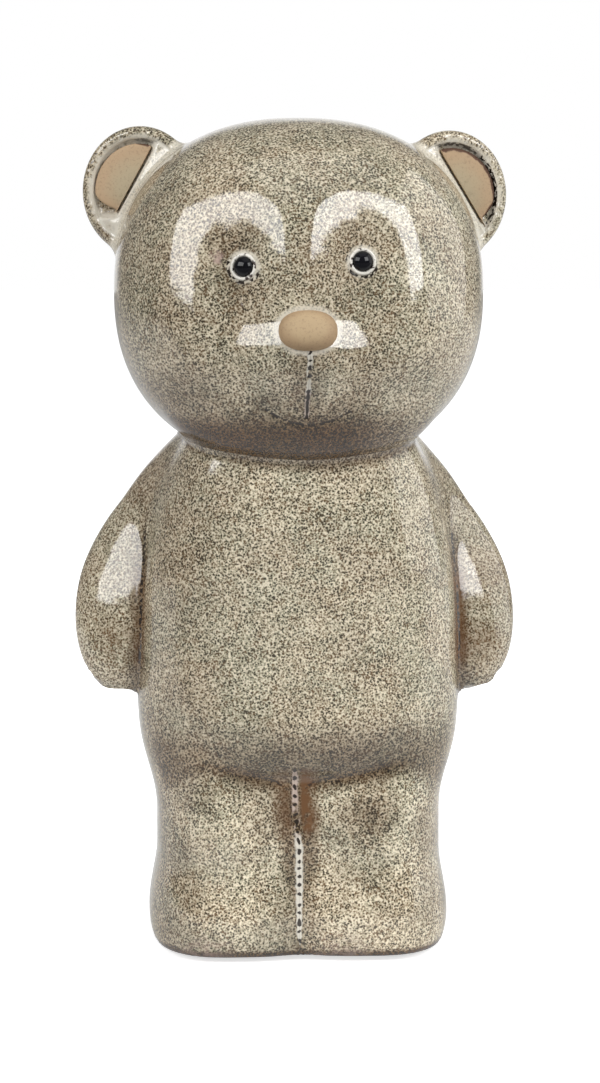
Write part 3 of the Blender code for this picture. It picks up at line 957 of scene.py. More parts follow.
@dataclass
class Head:
    """The head with its muzzle, eye hollows, mouth and ears under one skin of glaze."""

    centre: tuple[float, float, float]
    width: float = 0.1059
    height: float = 0.0989
    front: float = 0.0490
    back: float = 0.0470
    fullness: float = 2.3
    forward: float = 0.0050
    muzzle_swell: float = 0.0035
    muzzle_side: float = 0.0327
    muzzle_above: float = 0.0120
    muzzle_below: float = 0.0230
    muzzle_drop: float = 0.0172
    cheek_swell: float = 0.0026
    cheek_spacing: float = 0.0770
    cheek_drop: float = 0.0132
    cheek_reach: float = 0.0258
    hollow_depth: float = 0.0046
    hollow_outer: float = 0.0209
    hollow_inner: float = 0.0148
    hollow_above: float = 0.0264
    hollow_below: float = 0.0465
    hollow_spacing: float = 0.0326
    hollow_shift: float = -0.0026
    hollow_lift: float = 0.0104
    hollow_sharpness: float = 0.86
    face_fade: float = 0.0200
    chin_reach: float = 0.0365
    chin_drop: float = 0.0300
    chin_forward: float = 0.0195
    chin_front: float = 0.0222
    chin_back: float = 0.0250
    chin_top: float = 0.0200
    chin_bottom: float = 0.0212
    chin_fillet: float = 0.0060
    ear_fillet: float = 0.0035
    ear_reach: float = 0.026
    line_depth: float = 0.0008
    line_width: float = 0.0006
    smile_depth: float = 0.0003
    smile_width: float = 0.0008
    eye_spacing: float = 0.0328
    eye_lift: float = 0.0087
    eye_shift: float = -0.0010
    eye_tilt: float = 0.0014
    bead: float = 0.0056
    bead_depth: float = 0.0038
    bead_proud: float = 0.0002
    slip: float = 0.0010
    slip_proud: float = 0.0002
    nose_width: float = 0.0162
    nose_height: float = 0.0113
    nose_depth: float = 0.0097
    nose_drop: float = 0.0092
    nose_sink: float = 0.0005
    nose_squareness: float = 2.3
    line: tuple[tuple[float, float], ...] = ((0.0006, -0.0165), (0.0003, -0.026), (0.0, -0.0335))
    smile: tuple[tuple[float, float], ...] = (
        (-0.0115, -0.0312), (-0.0080, -0.0335), (-0.0040, -0.0352), (0.0, -0.0358),
        (0.0040, -0.0355), (0.0080, -0.0343), (0.0115, -0.0322),
    )
    voxel: float = 0.00085
    mouth_detail: float = 0.0024
    eye_detail: float = 0.0058
    rim_detail: float = 0.0032
    ears: list[Ear] = field(init=False)

    def __post_init__(self) -> None:
        """Sets the two ears on the head."""
        self.ears = [Ear(side, self.centre, self.width) for side in Side]

    @property
    def form(self) -> Form:
        """The head before its relief.

        Returns:
            The form, centred where the head is.
        """
        half, tall = self.width / 2, self.height / 2
        squareness = (self.fullness,) * 4
        return Form(self.centre, half, half, self.front, self.back, tall, tall, *squareness)

    @property
    def chin(self) -> Form:
        """The round chin, which hangs a little over the chest.

        Returns:
            The form, centred in front of the neck.
        """
        x, y, z = self.centre
        centre = (x, y - self.chin_forward, z - self.chin_drop)
        depths = self.chin_front, self.chin_back, self.chin_top, self.chin_bottom
        return Form(centre, self.chin_reach, self.chin_reach, *depths)

    def face_relief(self, x: np.ndarray, z: np.ndarray) -> np.ndarray:
        """How far back hollows and grooves take the face, less how far muzzle and cheeks bring it on.

        Args:
            x: How far left of the head's centre each point is.
            z: How far above the head's centre each point is.

        Returns:
            How far back the face goes at each point.
        """
        drop = z + self.muzzle_drop
        reach = np.where(drop > 0, self.muzzle_above, self.muzzle_below)
        cheek = np.hypot(np.abs(x) - self.cheek_spacing / 2, z + self.cheek_drop) / self.cheek_reach
        back = -self.muzzle_swell * hill(np.hypot(x / self.muzzle_side, drop / reach))
        back -= self.cheek_swell * hill(cheek)
        for side in Side:
            back += self.hollow_depth * hill(self.hollow_spread(side, x, z))
        back += self.line_depth * np.exp(-(self.line_distance(x, z) / self.line_width) ** 2)
        back += self.smile_depth * np.exp(-(path_distance(x, z, self.smile) / self.smile_width) ** 2)
        return back

    def hollow_spread(self, side: Side, x: np.ndarray, z: np.ndarray) -> np.ndarray:
        """How far out of an eye hollow each point of the face is: 0 in its middle and 1 at its edge.

        Args:
            side: Which eye's hollow is meant.
            x: How far left of the head's centre each point is.
            z: How far above the head's centre each point is.

        Returns:
            One number for each point.
        """
        outwards = side.value * (x - self.hollow_shift) - self.hollow_spacing / 2
        upwards = z - self.hollow_lift
        across = self.hollow_inner + (self.hollow_outer - self.hollow_inner) * ramp(outwards, -0.005, 0.005)
        along = self.hollow_below + (self.hollow_above - self.hollow_below) * ramp(upwards, -0.007, 0.007)
        spread = (outwards / across) ** 2 + (upwards / along) ** 2
        return (spread + 0.012) ** (self.hollow_sharpness / 2)

    def line_distance(self, x: np.ndarray, z: np.ndarray) -> np.ndarray:
        """How far a point of the face is from the line under the nose."""
        return path_distance(x, z, self.line)

    def line_offset(self, x: np.ndarray, z: np.ndarray) -> np.ndarray:
        """How far to the left of the line under the nose a point of the face is."""
        across, up = zip(*reversed(self.line))
        return x - np.interp(z, up, across)

    def smile_offset(self, x: np.ndarray, z: np.ndarray) -> np.ndarray:
        """How far above the smile a point of the face is."""
        return z - np.interp(x, [point[0] for point in self.smile], [point[1] for point in self.smile])

    def head_distance(self, points: np.ndarray) -> np.ndarray:
        """Distance from the head without its ears.

        Args:
            points: Places in the scene, one row each.

        Returns:
            One distance for each point, negative inside.
        """
        own = points - np.array(self.centre)
        chin = self.chin.distance(points - np.array(self.chin.centre))
        relief = self.face_relief(own[:, 0], own[:, 2])
        plain = own[:, 1]
        for _ in range(2):
            plain = own[:, 1] - relief * np.where(plain < 0, 1 - hill(plain / self.face_fade), 0)
        own[:, 1] = plain
        return lute(self.form.distance(own), chin, self.chin_fillet)

    def distance(self, points: np.ndarray) -> np.ndarray:
        """Distance from the head and its ears, luted on with soft fillets.

        Args:
            points: Places in the scene, one row each.

        Returns:
            One distance for each point, negative inside.
        """
        total = self.head_distance(points)
        for ear in self.ears:
            own = points - np.array(ear.centre)
            near = np.abs(own).max(1) < self.ear_reach
            if near.any():
                total[near] = lute(total[near], ear.distance(points[near]), self.ear_fillet)
        return total

    def eye_place(self, side: Side) -> tuple[float, float]:
        """Where an eye is, across and up from the head's centre."""
        across = self.eye_shift + side.value * self.eye_spacing / 2
        return across, self.eye_lift + side.value * self.eye_tilt / 2

    def seat(self, across: float, up: float) -> tuple[Vector, Vector]:
        """Where a straight line from in front meets the face, and which way the surface points there.

        Args:
            across: How far left of the head's centre the line runs.
            up: How far above the head's centre it runs.

        Returns:
            The place on the face, and the way out of the surface there.
        """
        outside, inside, halvings, probe = 0.075, 0.01, 40, 0.0004
        far, near = self.centre[1] - outside, self.centre[1] - inside
        for _ in range(halvings):
            middle = (far + near) / 2
            spot = np.array([[self.centre[0] + across, middle, self.centre[2] + up]])
            if self.head_distance(spot)[0] > 0:
                far = middle
            else:
                near = middle
        spot[0, 1] = near
        steps = np.eye(3) * probe
        slope = [self.head_distance(spot + step)[0] - self.head_distance(spot - step)[0] for step in steps]
        return Vector(spot[0]), Vector(slope).normalized()

    def near_detail(self, points: np.ndarray) -> np.ndarray:
        """Marks the points near the mouth, the eyes and the ears' rims.

        Args:
            points: Places in the scene, one row each.

        Returns:
            Whether each point is near such detail.
        """
        own = points - np.array(self.centre)
        x, z = own[:, 0], own[:, 2]
        fine = np.minimum(self.line_distance(x, z), path_distance(x, z, self.smile)) < self.mouth_detail
        for side in Side:
            across, up = self.eye_place(side)
            fine |= np.hypot(x - across, z - up) < self.eye_detail
        fine &= own[:, 1] < 0
        for ear in self.ears:
            across, up, forwards = ear.own(points)
            spread = np.hypot(across, up)
            by_rim = np.abs(spread - ear.width / 2 + ear.rim / 2) < self.rim_detail
            fine |= by_rim & (forwards > -0.003) & (forwards < 0.006)
        return fine

    def add_skin(self, glaze: bpy.types.Material) -> None:
        """Draws the glaze skin over head and ears.

        Args:
            glaze: The speckled glaze.
        """
        rough = [self.form.rough(), self.chin.rough(), *(ear.rough() for ear in self.ears)]
        shape = fused(joined(rough), self.voxel)
        settle(shape, self.distance, rounds=4)
        refine(shape, self.near_detail)
        settle(shape, self.distance, rounds=2)
        points = points_of(shape)
        mesh = mesh_from(shape, "head_glaze")
        self.shade_and_stain(mesh, points)
        nodes = ["head_shell", *(f"{side.word}_ear_cup" for side in Side)]
        add_piece("head_glaze", mesh, glaze, Slot.GLAZE, *nodes)

    def shade_and_stain(self, mesh: bpy.types.Mesh, points: np.ndarray) -> None:
        """Keeps on the skin its painted shade over browner glaze, its pale gathered glaze and painted
        highlights, its rust, and where it is broken along a line.

        Args:
            mesh: The skin's mesh, which keeps the values.
            points: The places of its points, one row each.
        """
        own = points - np.array(self.centre)
        x, y, z = own.T
        ahead = ramp(y, 0.004, -0.010)
        line, smile = self.line_distance(x, z), path_distance(x, z, self.smile)
        # Painted shade: a little darker over most of the head and most at the bear's right edge, where less
        # light falls.
        side_shade = 0.15 * ramp(x, 0.036, 0.012) + 0.12 * ramp(x, -0.020, -0.046)
        # Painted shade in the eye hollows, deeper on the bear's right.
        right_hollow_shade = 0.46 * ramp(self.hollow_spread(Side.RIGHT, x, z), 0.70, 0.20) * ahead
        left_hollow_shade = 0.30 * ramp(self.hollow_spread(Side.LEFT, x, z), 0.70, 0.20) * ahead
        mouth = 0.50 * ramp(np.minimum(line, smile), 0.0080, 0.0015) * ahead
        # Painted shade under the chin over browner glaze, stronger towards the bear's right, and painted
        # shade low on the bear's right cheek.
        chin = ramp(z, -0.0270, -0.0385) * (0.45 + 0.55 * ramp(x, 0.032, 0.010))
        jaw_shade = 0.55 * ramp(z, -0.010, -0.030) * ramp(x, -0.010, -0.034)
        shade_and_stain = np.maximum.reduce([side_shade, right_hollow_shade, left_hollow_shade, mouth, chin, jaw_shade])
        border = 0.0008
        wide, tall = self.nose_width / 2 + border, self.nose_height / 2 + border
        pool_and_sheen = 0.6 * ramp(np.hypot(x / wide, (z + self.nose_drop) / tall), 1.13, 1.0) * ahead
        right_eye = self.eye_place(Side.RIGHT)
        spot = np.hypot(x - right_eye[0] + 0.0075, z - right_eye[1] - 0.0025)
        blush = 0.8 * ramp(spot, 0.0028, 0.0010) * ahead
        dash = self.smile_offset(x, z)
        dash_share = ramp(smile, 0.0016, 0.0010) * ahead
        for side in Side:
            across, up = self.eye_place(side)
            ring = np.hypot(x - across, z - up)
            pool_and_sheen = np.maximum(pool_and_sheen, 0.6 * ramp(ring, 0.0050, 0.0040) * ahead)
            near = ring < 0.0066
            dash[near] = ring[near] - 0.0043
            below = ramp(z[near] - up + 0.5 * (x[near] - across), 0.0018, 0.0)
            dash_share[near] = below * ahead[near]
        rust = np.zeros(len(points))
        for ear in self.ears:
            across, up, forwards = ear.own(points)
            spread = np.hypot(across, up)
            inner = ear.width / 2 - ear.rim
            front = ramp(forwards, -0.0002, 0.0008)
            outside = ramp(self.head_distance(points), 0.0002, 0.0012)
            lip = front * outside
            # Painted highlight: a pale line along the inside of the rim.
            pool_and_sheen = np.maximum(pool_and_sheen, ramp(np.abs(spread - inner - 0.0004), 0.0008, 0.0003) * lip)
            # Painted highlight: a pale line where ear and head meet.
            joint = np.maximum(np.abs(self.head_distance(points)), np.abs(ear.distance(points)))
            pool_and_sheen = np.maximum(pool_and_sheen, 0.55 * ramp(joint, 0.0034, 0.0016) * ramp(forwards, -0.002, 0.001))
            within = lip * ramp(spread, inner + 0.0006, inner)
            foot = ramp(up, 0.0008 - ear.lining_foot * inner, -0.0006 - ear.lining_foot * inner) * within
            band = ear.beside(across, up)
            edge = ramp(np.abs(band + 0.0008), 0.0007, 0.0002) * within
            inside = 0.42 * ramp(band, -0.0010, -0.0018) * within
            pool_and_sheen = np.maximum.reduce([pool_and_sheen, 0.8 * foot, 0.95 * edge, inside])
            rust = np.maximum(rust, 0.7 * foot * ramp(band, -0.002, 0.003))
            close = lip > 0.02
            dash[close] = spread[close] - inner - 0.0001
            outer = ear.side.value * across
            if ear.side is Side.RIGHT:
                strong = 0.5 * ramp(up, 0.009, 0.012) * ramp(outer, 0.004, -0.001)
            else:
                strong = np.maximum(ramp(outer, 0.004, 0.010), 0.8 * ramp(up, 0.006, 0.011))
            dash_share[close] = (lip * strong * ramp(band, 0.0002, 0.0010))[close]
        store(mesh, "shade_and_stain", shade_and_stain)
        store(mesh, "pool_and_sheen", pool_and_sheen)
        store(mesh, "rust", rust)
        store(mesh, "blush", blush)
        store_offset(mesh, "crack", self.line_offset(x, z))
        line_foot = self.line[-1][1]
        above_foot = ramp(z, line_foot - 0.0006, line_foot)
        store(mesh, "crack_width", 0.46 * ramp(line, 0.0016, 0.0012) * above_foot * ahead)
        store(mesh, "crack_bright", ramp(z, -0.0275, -0.0255) * 0.7 + 0.3)
        store(mesh, "crack_open", 0.40 * ramp(z, -0.0255, -0.0270))
        store_offset(mesh, "dash", dash)
        store(mesh, "dash_share", dash_share)

    def add_nose(self, clay: bpy.types.Material) -> None:
        """Presses the nose button on the muzzle.

        Args:
            clay: The bare clay that it is made of.
        """
        seat, outwards = self.seat(0.0, -self.nose_drop)
        half, tall, deep = self.nose_width / 2, self.nose_height / 2, self.nose_depth / 2
        form = Form((0, 0, 0), half, half, deep, deep, tall, tall, *(self.nose_squareness,) * 4)
        shape = bmesh.new()
        bmesh.ops.create_uvsphere(shape, u_segments=72, v_segments=48, radius=1.0)
        bmesh.ops.rotate(shape, verts=shape.verts, matrix=Matrix.Rotation(math.pi / 2, 3, "X"))
        for vert in shape.verts:
            vert.co = form.surface(vert.co)
        points = points_of(shape)
        turn = (-outwards).to_track_quat("Y", "Z").to_matrix()
        bmesh.ops.rotate(shape, verts=shape.verts, matrix=turn)
        bmesh.ops.translate(shape, verts=shape.verts, vec=seat - outwards * self.nose_sink)
        bmesh.ops.recalc_face_normals(shape, faces=shape.faces)
        mesh = mesh_from(shape, "nose_clay")
        store(mesh, "rim", np.hypot(points[:, 0] / half, points[:, 2] / tall) ** 1.5)
        store(mesh, "burnt", np.zeros(len(points)))
        add_piece("nose_clay", mesh, clay, Slot.BARE_CLAY, "nose_button")

    def add_eyes(self, black: bpy.types.Material, white: bpy.types.Material) -> None:
        """Sets each bead in the ring of slip that holds it.

        Args:
            black: The beads' glaze.
            white: The rings' slip.
        """
        for side in Side:
            across, up = self.eye_place(side)
            seat, outwards = self.seat(across, up)
            turn = outwards.to_track_quat("Z", "Y").to_matrix()
            bead = bmesh.new()
            bmesh.ops.create_uvsphere(bead, u_segments=48, v_segments=32, radius=self.bead / 2)
            bmesh.ops.scale(bead, verts=bead.verts, vec=(1, 1, self.bead_depth / self.bead))
            bmesh.ops.rotate(bead, verts=bead.verts, matrix=turn)
            bmesh.ops.translate(bead, verts=bead.verts, vec=seat + outwards * self.bead_proud)
            eye = f"{side.word}_eye"
            add_piece(f"{eye}_glaze", mesh_from(bead, "eye_glaze"), black, Slot.BLACK_GLAZE, f"{eye}_bead")
            ring = bmesh.new()
            half = self.slip / 2
            reach = self.bead / 2 + half
            upright = Matrix.Rotation(math.pi / 2, 4, "X")
            bmesh.ops.create_circle(ring, segments=16, radius=half, matrix=upright)
            bmesh.ops.translate(ring, verts=ring.verts, vec=(reach, 0, 0))
            bmesh.ops.spin(
                ring, geom=ring.verts[:] + ring.edges[:], cent=(0, 0, 0), axis=(0, 0, 1), angle=2 * math.pi,
                steps=56, use_merge=True,
            )
            bmesh.ops.remove_doubles(ring, verts=ring.verts, dist=MERGE_DISTANCE)
            bmesh.ops.recalc_face_normals(ring, faces=ring.faces)
            bmesh.ops.rotate(ring, verts=ring.verts, matrix=turn)
            bmesh.ops.translate(ring, verts=ring.verts, vec=seat + outwards * self.slip_proud)
            add_piece(f"{eye}_slip", mesh_from(ring, "eye_slip"), white, Slot.WHITE_SLIP, f"{eye}_ring")


# The body


@dataclass
class Body:
    """Torso, arms and legs under one skin of glaze, with the felt dots that they stand on."""

    head: Head
    shift: float
    dot: float = 0.0120
    dot_thickness: float = 0.0012
    dot_inset: float = 0.0140
    dot_edge: float = 0.0002
    fit: float = 0.0003
    leg_width: float = 0.0412
    leg_depth: float = 0.0660
    leg_height: float = 0.0665
    leg_outer: float = 2.5
    leg_inner: float = 4.0
    leg_join: float = 0.0020
    leg_top: float = 5.0
    sole_squareness: float = 8.0
    sole_trim: float = 0.0040
    foot_flare: float = 0.0024
    foot_flare_level: float = 0.0080
    foot_flare_reach: float = 0.0200
    belly_width: float = 0.0938
    belly_front_overhang: float = 0.0060
    belly_back_overhang: float = 0.0040
    belly_seat: float = 0.0160
    belly_drop: float = 0.0340
    belly_fullness: float = 3.1
    shoulder_rise: float = 0.0880
    stoop: float = 0.0057
    chest_swell: float = 0.0018
    chest_rise: float = 0.0510
    chest_reach: float = 0.0370
    neck_push: float = 0.0052
    neck_push_start: float = 0.0340
    neck_push_reach: float = 0.0340
    shoulder_fullness: float = 2.3
    torso_squareness: float = 2.5
    arm_width: float = 0.0479
    arm_depth: float = 0.0290
    arm_length: float = 0.0716
    arm_sink: float = 0.0083
    arm_rise: float = 0.0300
    arm_setback: float = 0.0040
    arm_lean: float = 0.34
    arm_tilt: float = 0.22
    arm_bow: float = 2.4
    shoulder_bow: float = 2.8
    left_arm_inwards: float = 0.0036
    left_arm_forwards: float = -0.0006
    arm_fullness: float = 1.8
    arm_softness: float = 0.08
    left_arm_nearer: float = 0.0013
    leg_fillet: float = 0.0020
    fold_fillet: float = 0.0014
    fold_fillet_more: float = 0.0120
    arm_fillet: float = 0.0020
    arm_fillet_more: float = 0.014
    luting_fillet: float = 0.0030
    luting_level: float = 0.018
    luting_reaches: tuple[float, ...] = (0.013, 0.013, 0.0318, 0.0318, 0.060, 0.024)
    luting_squareness: tuple[float, ...] = (3, 3, 5, 4)
    bead_radius: float = 0.0011
    bead_fillet: float = 0.0012
    bead_ahead: float = 0.0262
    bead_ahead_low: float = 0.0052
    bead_back_at_foot: float = 0.0012
    groove_top: float = 0.060
    groove_front: float = 0.018
    groove_detail: float = 0.0032
    groove_bend: float = 0.022
    groove_levels: tuple[float, ...] = (0.0, 0.010, 0.033, 0.045, 0.058)
    groove_places: tuple[float, ...] = (-0.0008, -0.0012, -0.0012, -0.0024, -0.0026)
    neck_fillet: float = 0.0020
    neck_gap: float = 0.0001
    neck_gap_more: float = 0.0014
    neck_cut: float = 0.158
    sole_edge: float = 0.0012
    voxel: float = 0.00092

    @property
    def sole_level(self) -> float:
        """The height of the soles over the ground."""
        return self.dot_thickness + self.fit

    @property
    def leg_level(self) -> float:
        """The height of a leg's middle."""
        return self.sole_level - self.sole_trim + self.leg_height / 2

    @property
    def belly_level(self) -> float:
        """The height of the torso's widest part."""
        return self.leg_level + self.leg_height / 2 + self.belly_seat

    @property
    def torso(self) -> Form:
        """The torso before its relief.

        Returns:
            The form, centred at the belly's widest part.
        """
        half = self.belly_width / 2
        front = self.leg_depth / 2 + self.belly_front_overhang
        back = self.leg_depth / 2 + self.belly_back_overhang
        plan = self.torso_squareness
        centre = (0.0, self.shift, self.belly_level)
        return Form(
            centre, half, half, front, back, self.shoulder_rise, self.belly_drop, plan, plan,
            self.shoulder_fullness, self.belly_fullness,
        )

    def leg(self, side: Side) -> Form:
        """A leg before its flare, which reaches past the plane where the two legs join.

        Args:
            side: Which of the two is meant.

        Returns:
            The form, in its place.
        """
        outer, inner = self.leg_width / 2, self.leg_width / 2 + self.leg_join
        left, right = (outer, inner) if side is Side.LEFT else (inner, outer)
        plans = (self.leg_outer, self.leg_inner) if side is Side.LEFT else (self.leg_inner, self.leg_outer)
        centre = (side.value * self.leg_width / 2, self.shift, self.leg_level)
        deep, tall = self.leg_depth / 2, self.leg_height / 2
        return Form(centre, left, right, deep, deep, tall, tall, *plans, self.leg_top, self.sole_squareness)

    def arm(self, side: Side) -> Form:
        """An arm that leans out from the shoulder to the hand.

        Args:
            side: Which of the two is meant.

        Returns:
            The form, in its place.
        """
        nearer = self.left_arm_nearer if side is Side.LEFT else 0.0
        across = side.value * (self.belly_width / 2 - self.arm_sink - nearer)
        centre = (across, self.shift + self.arm_setback, self.belly_level + self.arm_rise)
        half, deep, tall = self.arm_width / 2, self.arm_depth / 2, self.arm_length / 2
        full = self.arm_fullness
        inner, front = half, deep
        if side is Side.LEFT:
            inner += self.left_arm_inwards
            front += self.left_arm_forwards
        reaches = (half, inner, front, deep, tall, tall)
        lean = -side.value * self.arm_lean
        return Form(centre, *reaches, crown=full, base=full, lean=lean, soft=self.arm_softness)

    def torso_distance(self, points: np.ndarray) -> np.ndarray:
        """Distance from the torso, whose shoulders stoop forwards under the head.

        Args:
            points: Places in the scene, one row each.

        Returns:
            One distance for each point, negative inside.
        """
        own = points - np.array(self.torso.centre)
        own[:, 1] += self.stoop * (np.maximum(own[:, 2], 0) / self.shoulder_rise) ** 2
        swell = self.chest_swell * hill((own[:, 2] - self.chest_rise) / self.chest_reach)
        above = np.clip(own[:, 2] - self.neck_push_start, 0, None)
        swell += self.neck_push * (above / self.neck_push_reach) ** 2
        own[:, 1] += swell * ramp(own[:, 1], 0.002, -0.012)
        return self.torso.distance(own)

    def arm_distance(self, side: Side, points: np.ndarray) -> np.ndarray:
        """Distance from an arm, whose hand hangs forwards of its shoulder.

        Args:
            side: Which of the two is meant.
            points: Places in the scene, one row each.

        Returns:
            One distance for each point, negative inside.
        """
        form = self.arm(side)
        own = points - np.array(form.centre)
        own[:, 1] -= self.arm_tilt * own[:, 2] - self.arm_bow * own[:, 2] ** 2
        own[:, 1] += self.shoulder_bow * np.clip(own[:, 2], 0, None) ** 2
        return form.distance(own)

    def leg_distance(self, side: Side, points: np.ndarray) -> np.ndarray:
        """Distance from a leg, whose foot flares a little above its flat sole.

        Args:
            side: Which of the two is meant.
            points: Places in the scene, one row each.

        Returns:
            One distance for each point, negative inside.
        """
        form = self.leg(side)
        own = points - np.array(form.centre)
        own[:, 0] -= self.groove_place(points[:, 2]) * hill(points[:, 0] / self.groove_bend)
        above = points[:, 2] - self.sole_level - self.foot_flare_level
        flare = self.foot_flare * hill(above / self.foot_flare_reach)
        own[:, 0] /= 1 + flare / (self.leg_width / 2)
        own[:, 1] /= 1 + flare / (self.leg_depth / 2)
        return form.distance(own)

    def groove_place(self, z: np.ndarray) -> np.ndarray:
        """How far across the groove between the legs wanders at each height."""
        return np.interp(z, self.groove_levels, self.groove_places)

    def luting_distance(self, points: np.ndarray) -> np.ndarray:
        """Distance from the clay that fills the groove between the legs, low down in front and behind.

        Args:
            points: Places in the scene, one row each.

        Returns:
            One distance for each point, negative inside.
        """
        centre = (0, self.shift, self.luting_level)
        form = Form(centre, *self.luting_reaches, *self.luting_squareness)
        own = points - np.array(form.centre)
        own[:, 0] -= self.groove_place(points[:, 2])
        return form.distance(own)

    def distance(self, points: np.ndarray) -> np.ndarray:
        """Distance from the whole body, luted together, with a thin rise of glaze where the head sits.

        Args:
            points: Places in the scene, one row each.

        Returns:
            One distance for each point, negative inside.
        """
        x, z = points[:, 0], points[:, 2]
        left, right = (self.leg_distance(side, points) for side in Side)
        legs = lute(left, right, self.leg_fillet)
        legs = lute(legs, self.luting_distance(points), self.luting_fillet)
        ahead = points[:, 1] - self.shift + self.bead_depth(z)
        bead = np.hypot(x - self.groove_place(z), ahead) - self.bead_radius
        low = (z < self.groove_top) & (points[:, 1] < self.shift)
        legs[low] = lute(legs[low], bead[low], self.bead_fillet)
        fold = self.fold_fillet + self.fold_fillet_more * ramp(np.abs(x - 0.002), 0.016, 0.044)
        total = lute(self.torso_distance(points), legs, fold)
        crease = self.arm_fillet + self.arm_fillet_more * ramp(z, 0.112, 0.140)
        for side in Side:
            total = lute(total, self.arm_distance(side, points), crease)
        sunk = self.neck_gap + self.neck_gap_more * ramp(total, 0.0008, 0.0060)
        total = lute(total, self.head.head_distance(points) + sunk, self.neck_fillet)
        total = np.maximum(total, z - self.neck_cut)
        edge = self.sole_edge
        sole = self.sole_level - z
        share = np.clip(0.5 - 0.5 * (sole - total) / edge, 0, 1)
        return sole * (1 - share) + total * share + edge * share * (1 - share)

    def bead_depth(self, z: np.ndarray) -> np.ndarray:
        """How far in front of the legs' middle the bead of glaze runs down the groove between them."""
        ahead = self.bead_ahead + self.bead_ahead_low * ramp(z, 0.050, 0.036)
        return ahead - self.bead_back_at_foot * ramp(z, 0.010, 0.003)

    def near_detail(self, points: np.ndarray) -> np.ndarray:
        """Marks the points near the groove between the legs.

        Args:
            points: Places in the scene, one row each.

        Returns:
            Whether each point is near the groove.
        """
        x, y, z = points.T
        beside = np.abs(x - self.groove_place(z)) < self.groove_detail
        return beside & (z < self.groove_top) & (y < self.shift - self.groove_front)

    def add_skin(self, glaze: bpy.types.Material) -> None:
        """Draws the glaze skin over torso, arms and legs.

        Args:
            glaze: The speckled glaze.
        """
        limbs = [limb(side) for limb in (self.arm, self.leg) for side in Side]
        shape = joined([form.rough() for form in (self.torso, self.head.chin, *limbs)])
        shape = fused(shape, self.voxel)
        for level, way in ((self.sole_level, -1), (self.neck_cut, 1)):
            geometry = shape.verts[:] + shape.edges[:] + shape.faces[:]
            bmesh.ops.bisect_plane(
                shape, geom=geometry, plane_co=(0, 0, level), plane_no=(0, 0, way), clear_outer=True
            )
            bmesh.ops.holes_fill(shape, edges=[edge for edge in shape.edges if edge.is_boundary])
        shape = fused(shape, self.voxel)
        settle(shape, self.distance, rounds=4)
        refine(shape, self.near_detail)
        settle(shape, self.distance, rounds=2)
        points = points_of(shape)
        mesh = mesh_from(shape, "body_glaze")
        self.shade_and_stain(mesh, points)
        nodes = ["torso_shell"] + [f"{side.word}_{limb}_shell" for limb in ("arm", "leg") for side in Side]
        add_piece("body_glaze", mesh, glaze, Slot.GLAZE, *nodes)

    def shade_and_stain(self, mesh: bpy.types.Mesh, points: np.ndarray) -> None:
        """Keeps on the skin where shade is painted over browner glaze, where a pale patch of light is
        painted, and where its glaze is rusty or cracked.

        Args:
            mesh: The skin's mesh, which keeps the values.
            points: The places of its points, one row each.
        """
        x, z = points[:, 0], points[:, 2]
        y = points[:, 1] - self.shift
        torso = self.torso_distance(points)
        legs = np.minimum(self.leg_distance(Side.LEFT, points), self.leg_distance(Side.RIGHT, points))
        arms = np.minimum(self.arm_distance(Side.LEFT, points), self.arm_distance(Side.RIGHT, points))
        head = np.abs(self.head.head_distance(points))
        fold = np.maximum(np.abs(torso), np.abs(legs))
        crease = np.maximum(np.abs(torso), np.abs(arms))
        neck = np.maximum(np.abs(torso), head)
        off = x - self.groove_place(z)
        ahead = ramp(y, -0.014, -0.022)
        high = ramp(z, 0.034, 0.040)
        groove = ramp(np.abs(off), 0.0085, 0.002) * ramp(y, -0.018, -0.024) * ramp(z, self.groove_top, 0.056)
        # Painted shade: in the belly fold, on the bear's right side, under the belly, beside the arms, under
        # the head and in a patch on the left leg.
        belly_fold_shade = 0.85 * ramp(fold, 0.0052, 0.0006)
        right_side_shade = 0.24 * ramp(x, -0.010, -0.038) * ramp(arms, 0.0, 0.002)
        under_belly_shade = 0.62 * ramp(z, 0.0735, 0.0590) * ramp(legs, 0.0000, 0.0015) * ahead
        arm_crease_shade = 0.70 * ramp(crease, 0.0050, 0.0006) * ramp(z, 0.140, 0.110)
        under_head_shade = 0.6 * ramp(neck, 0.0032, 0.0008)
        left_leg_shade = 0.45 * hill(np.hypot(x - 0.0189, z - 0.0410) / 0.012) * ahead
        # Painted shade in the groove between the legs, over browner thin glaze.
        leg_groove_shade = groove * (0.30 + 0.45 * high)
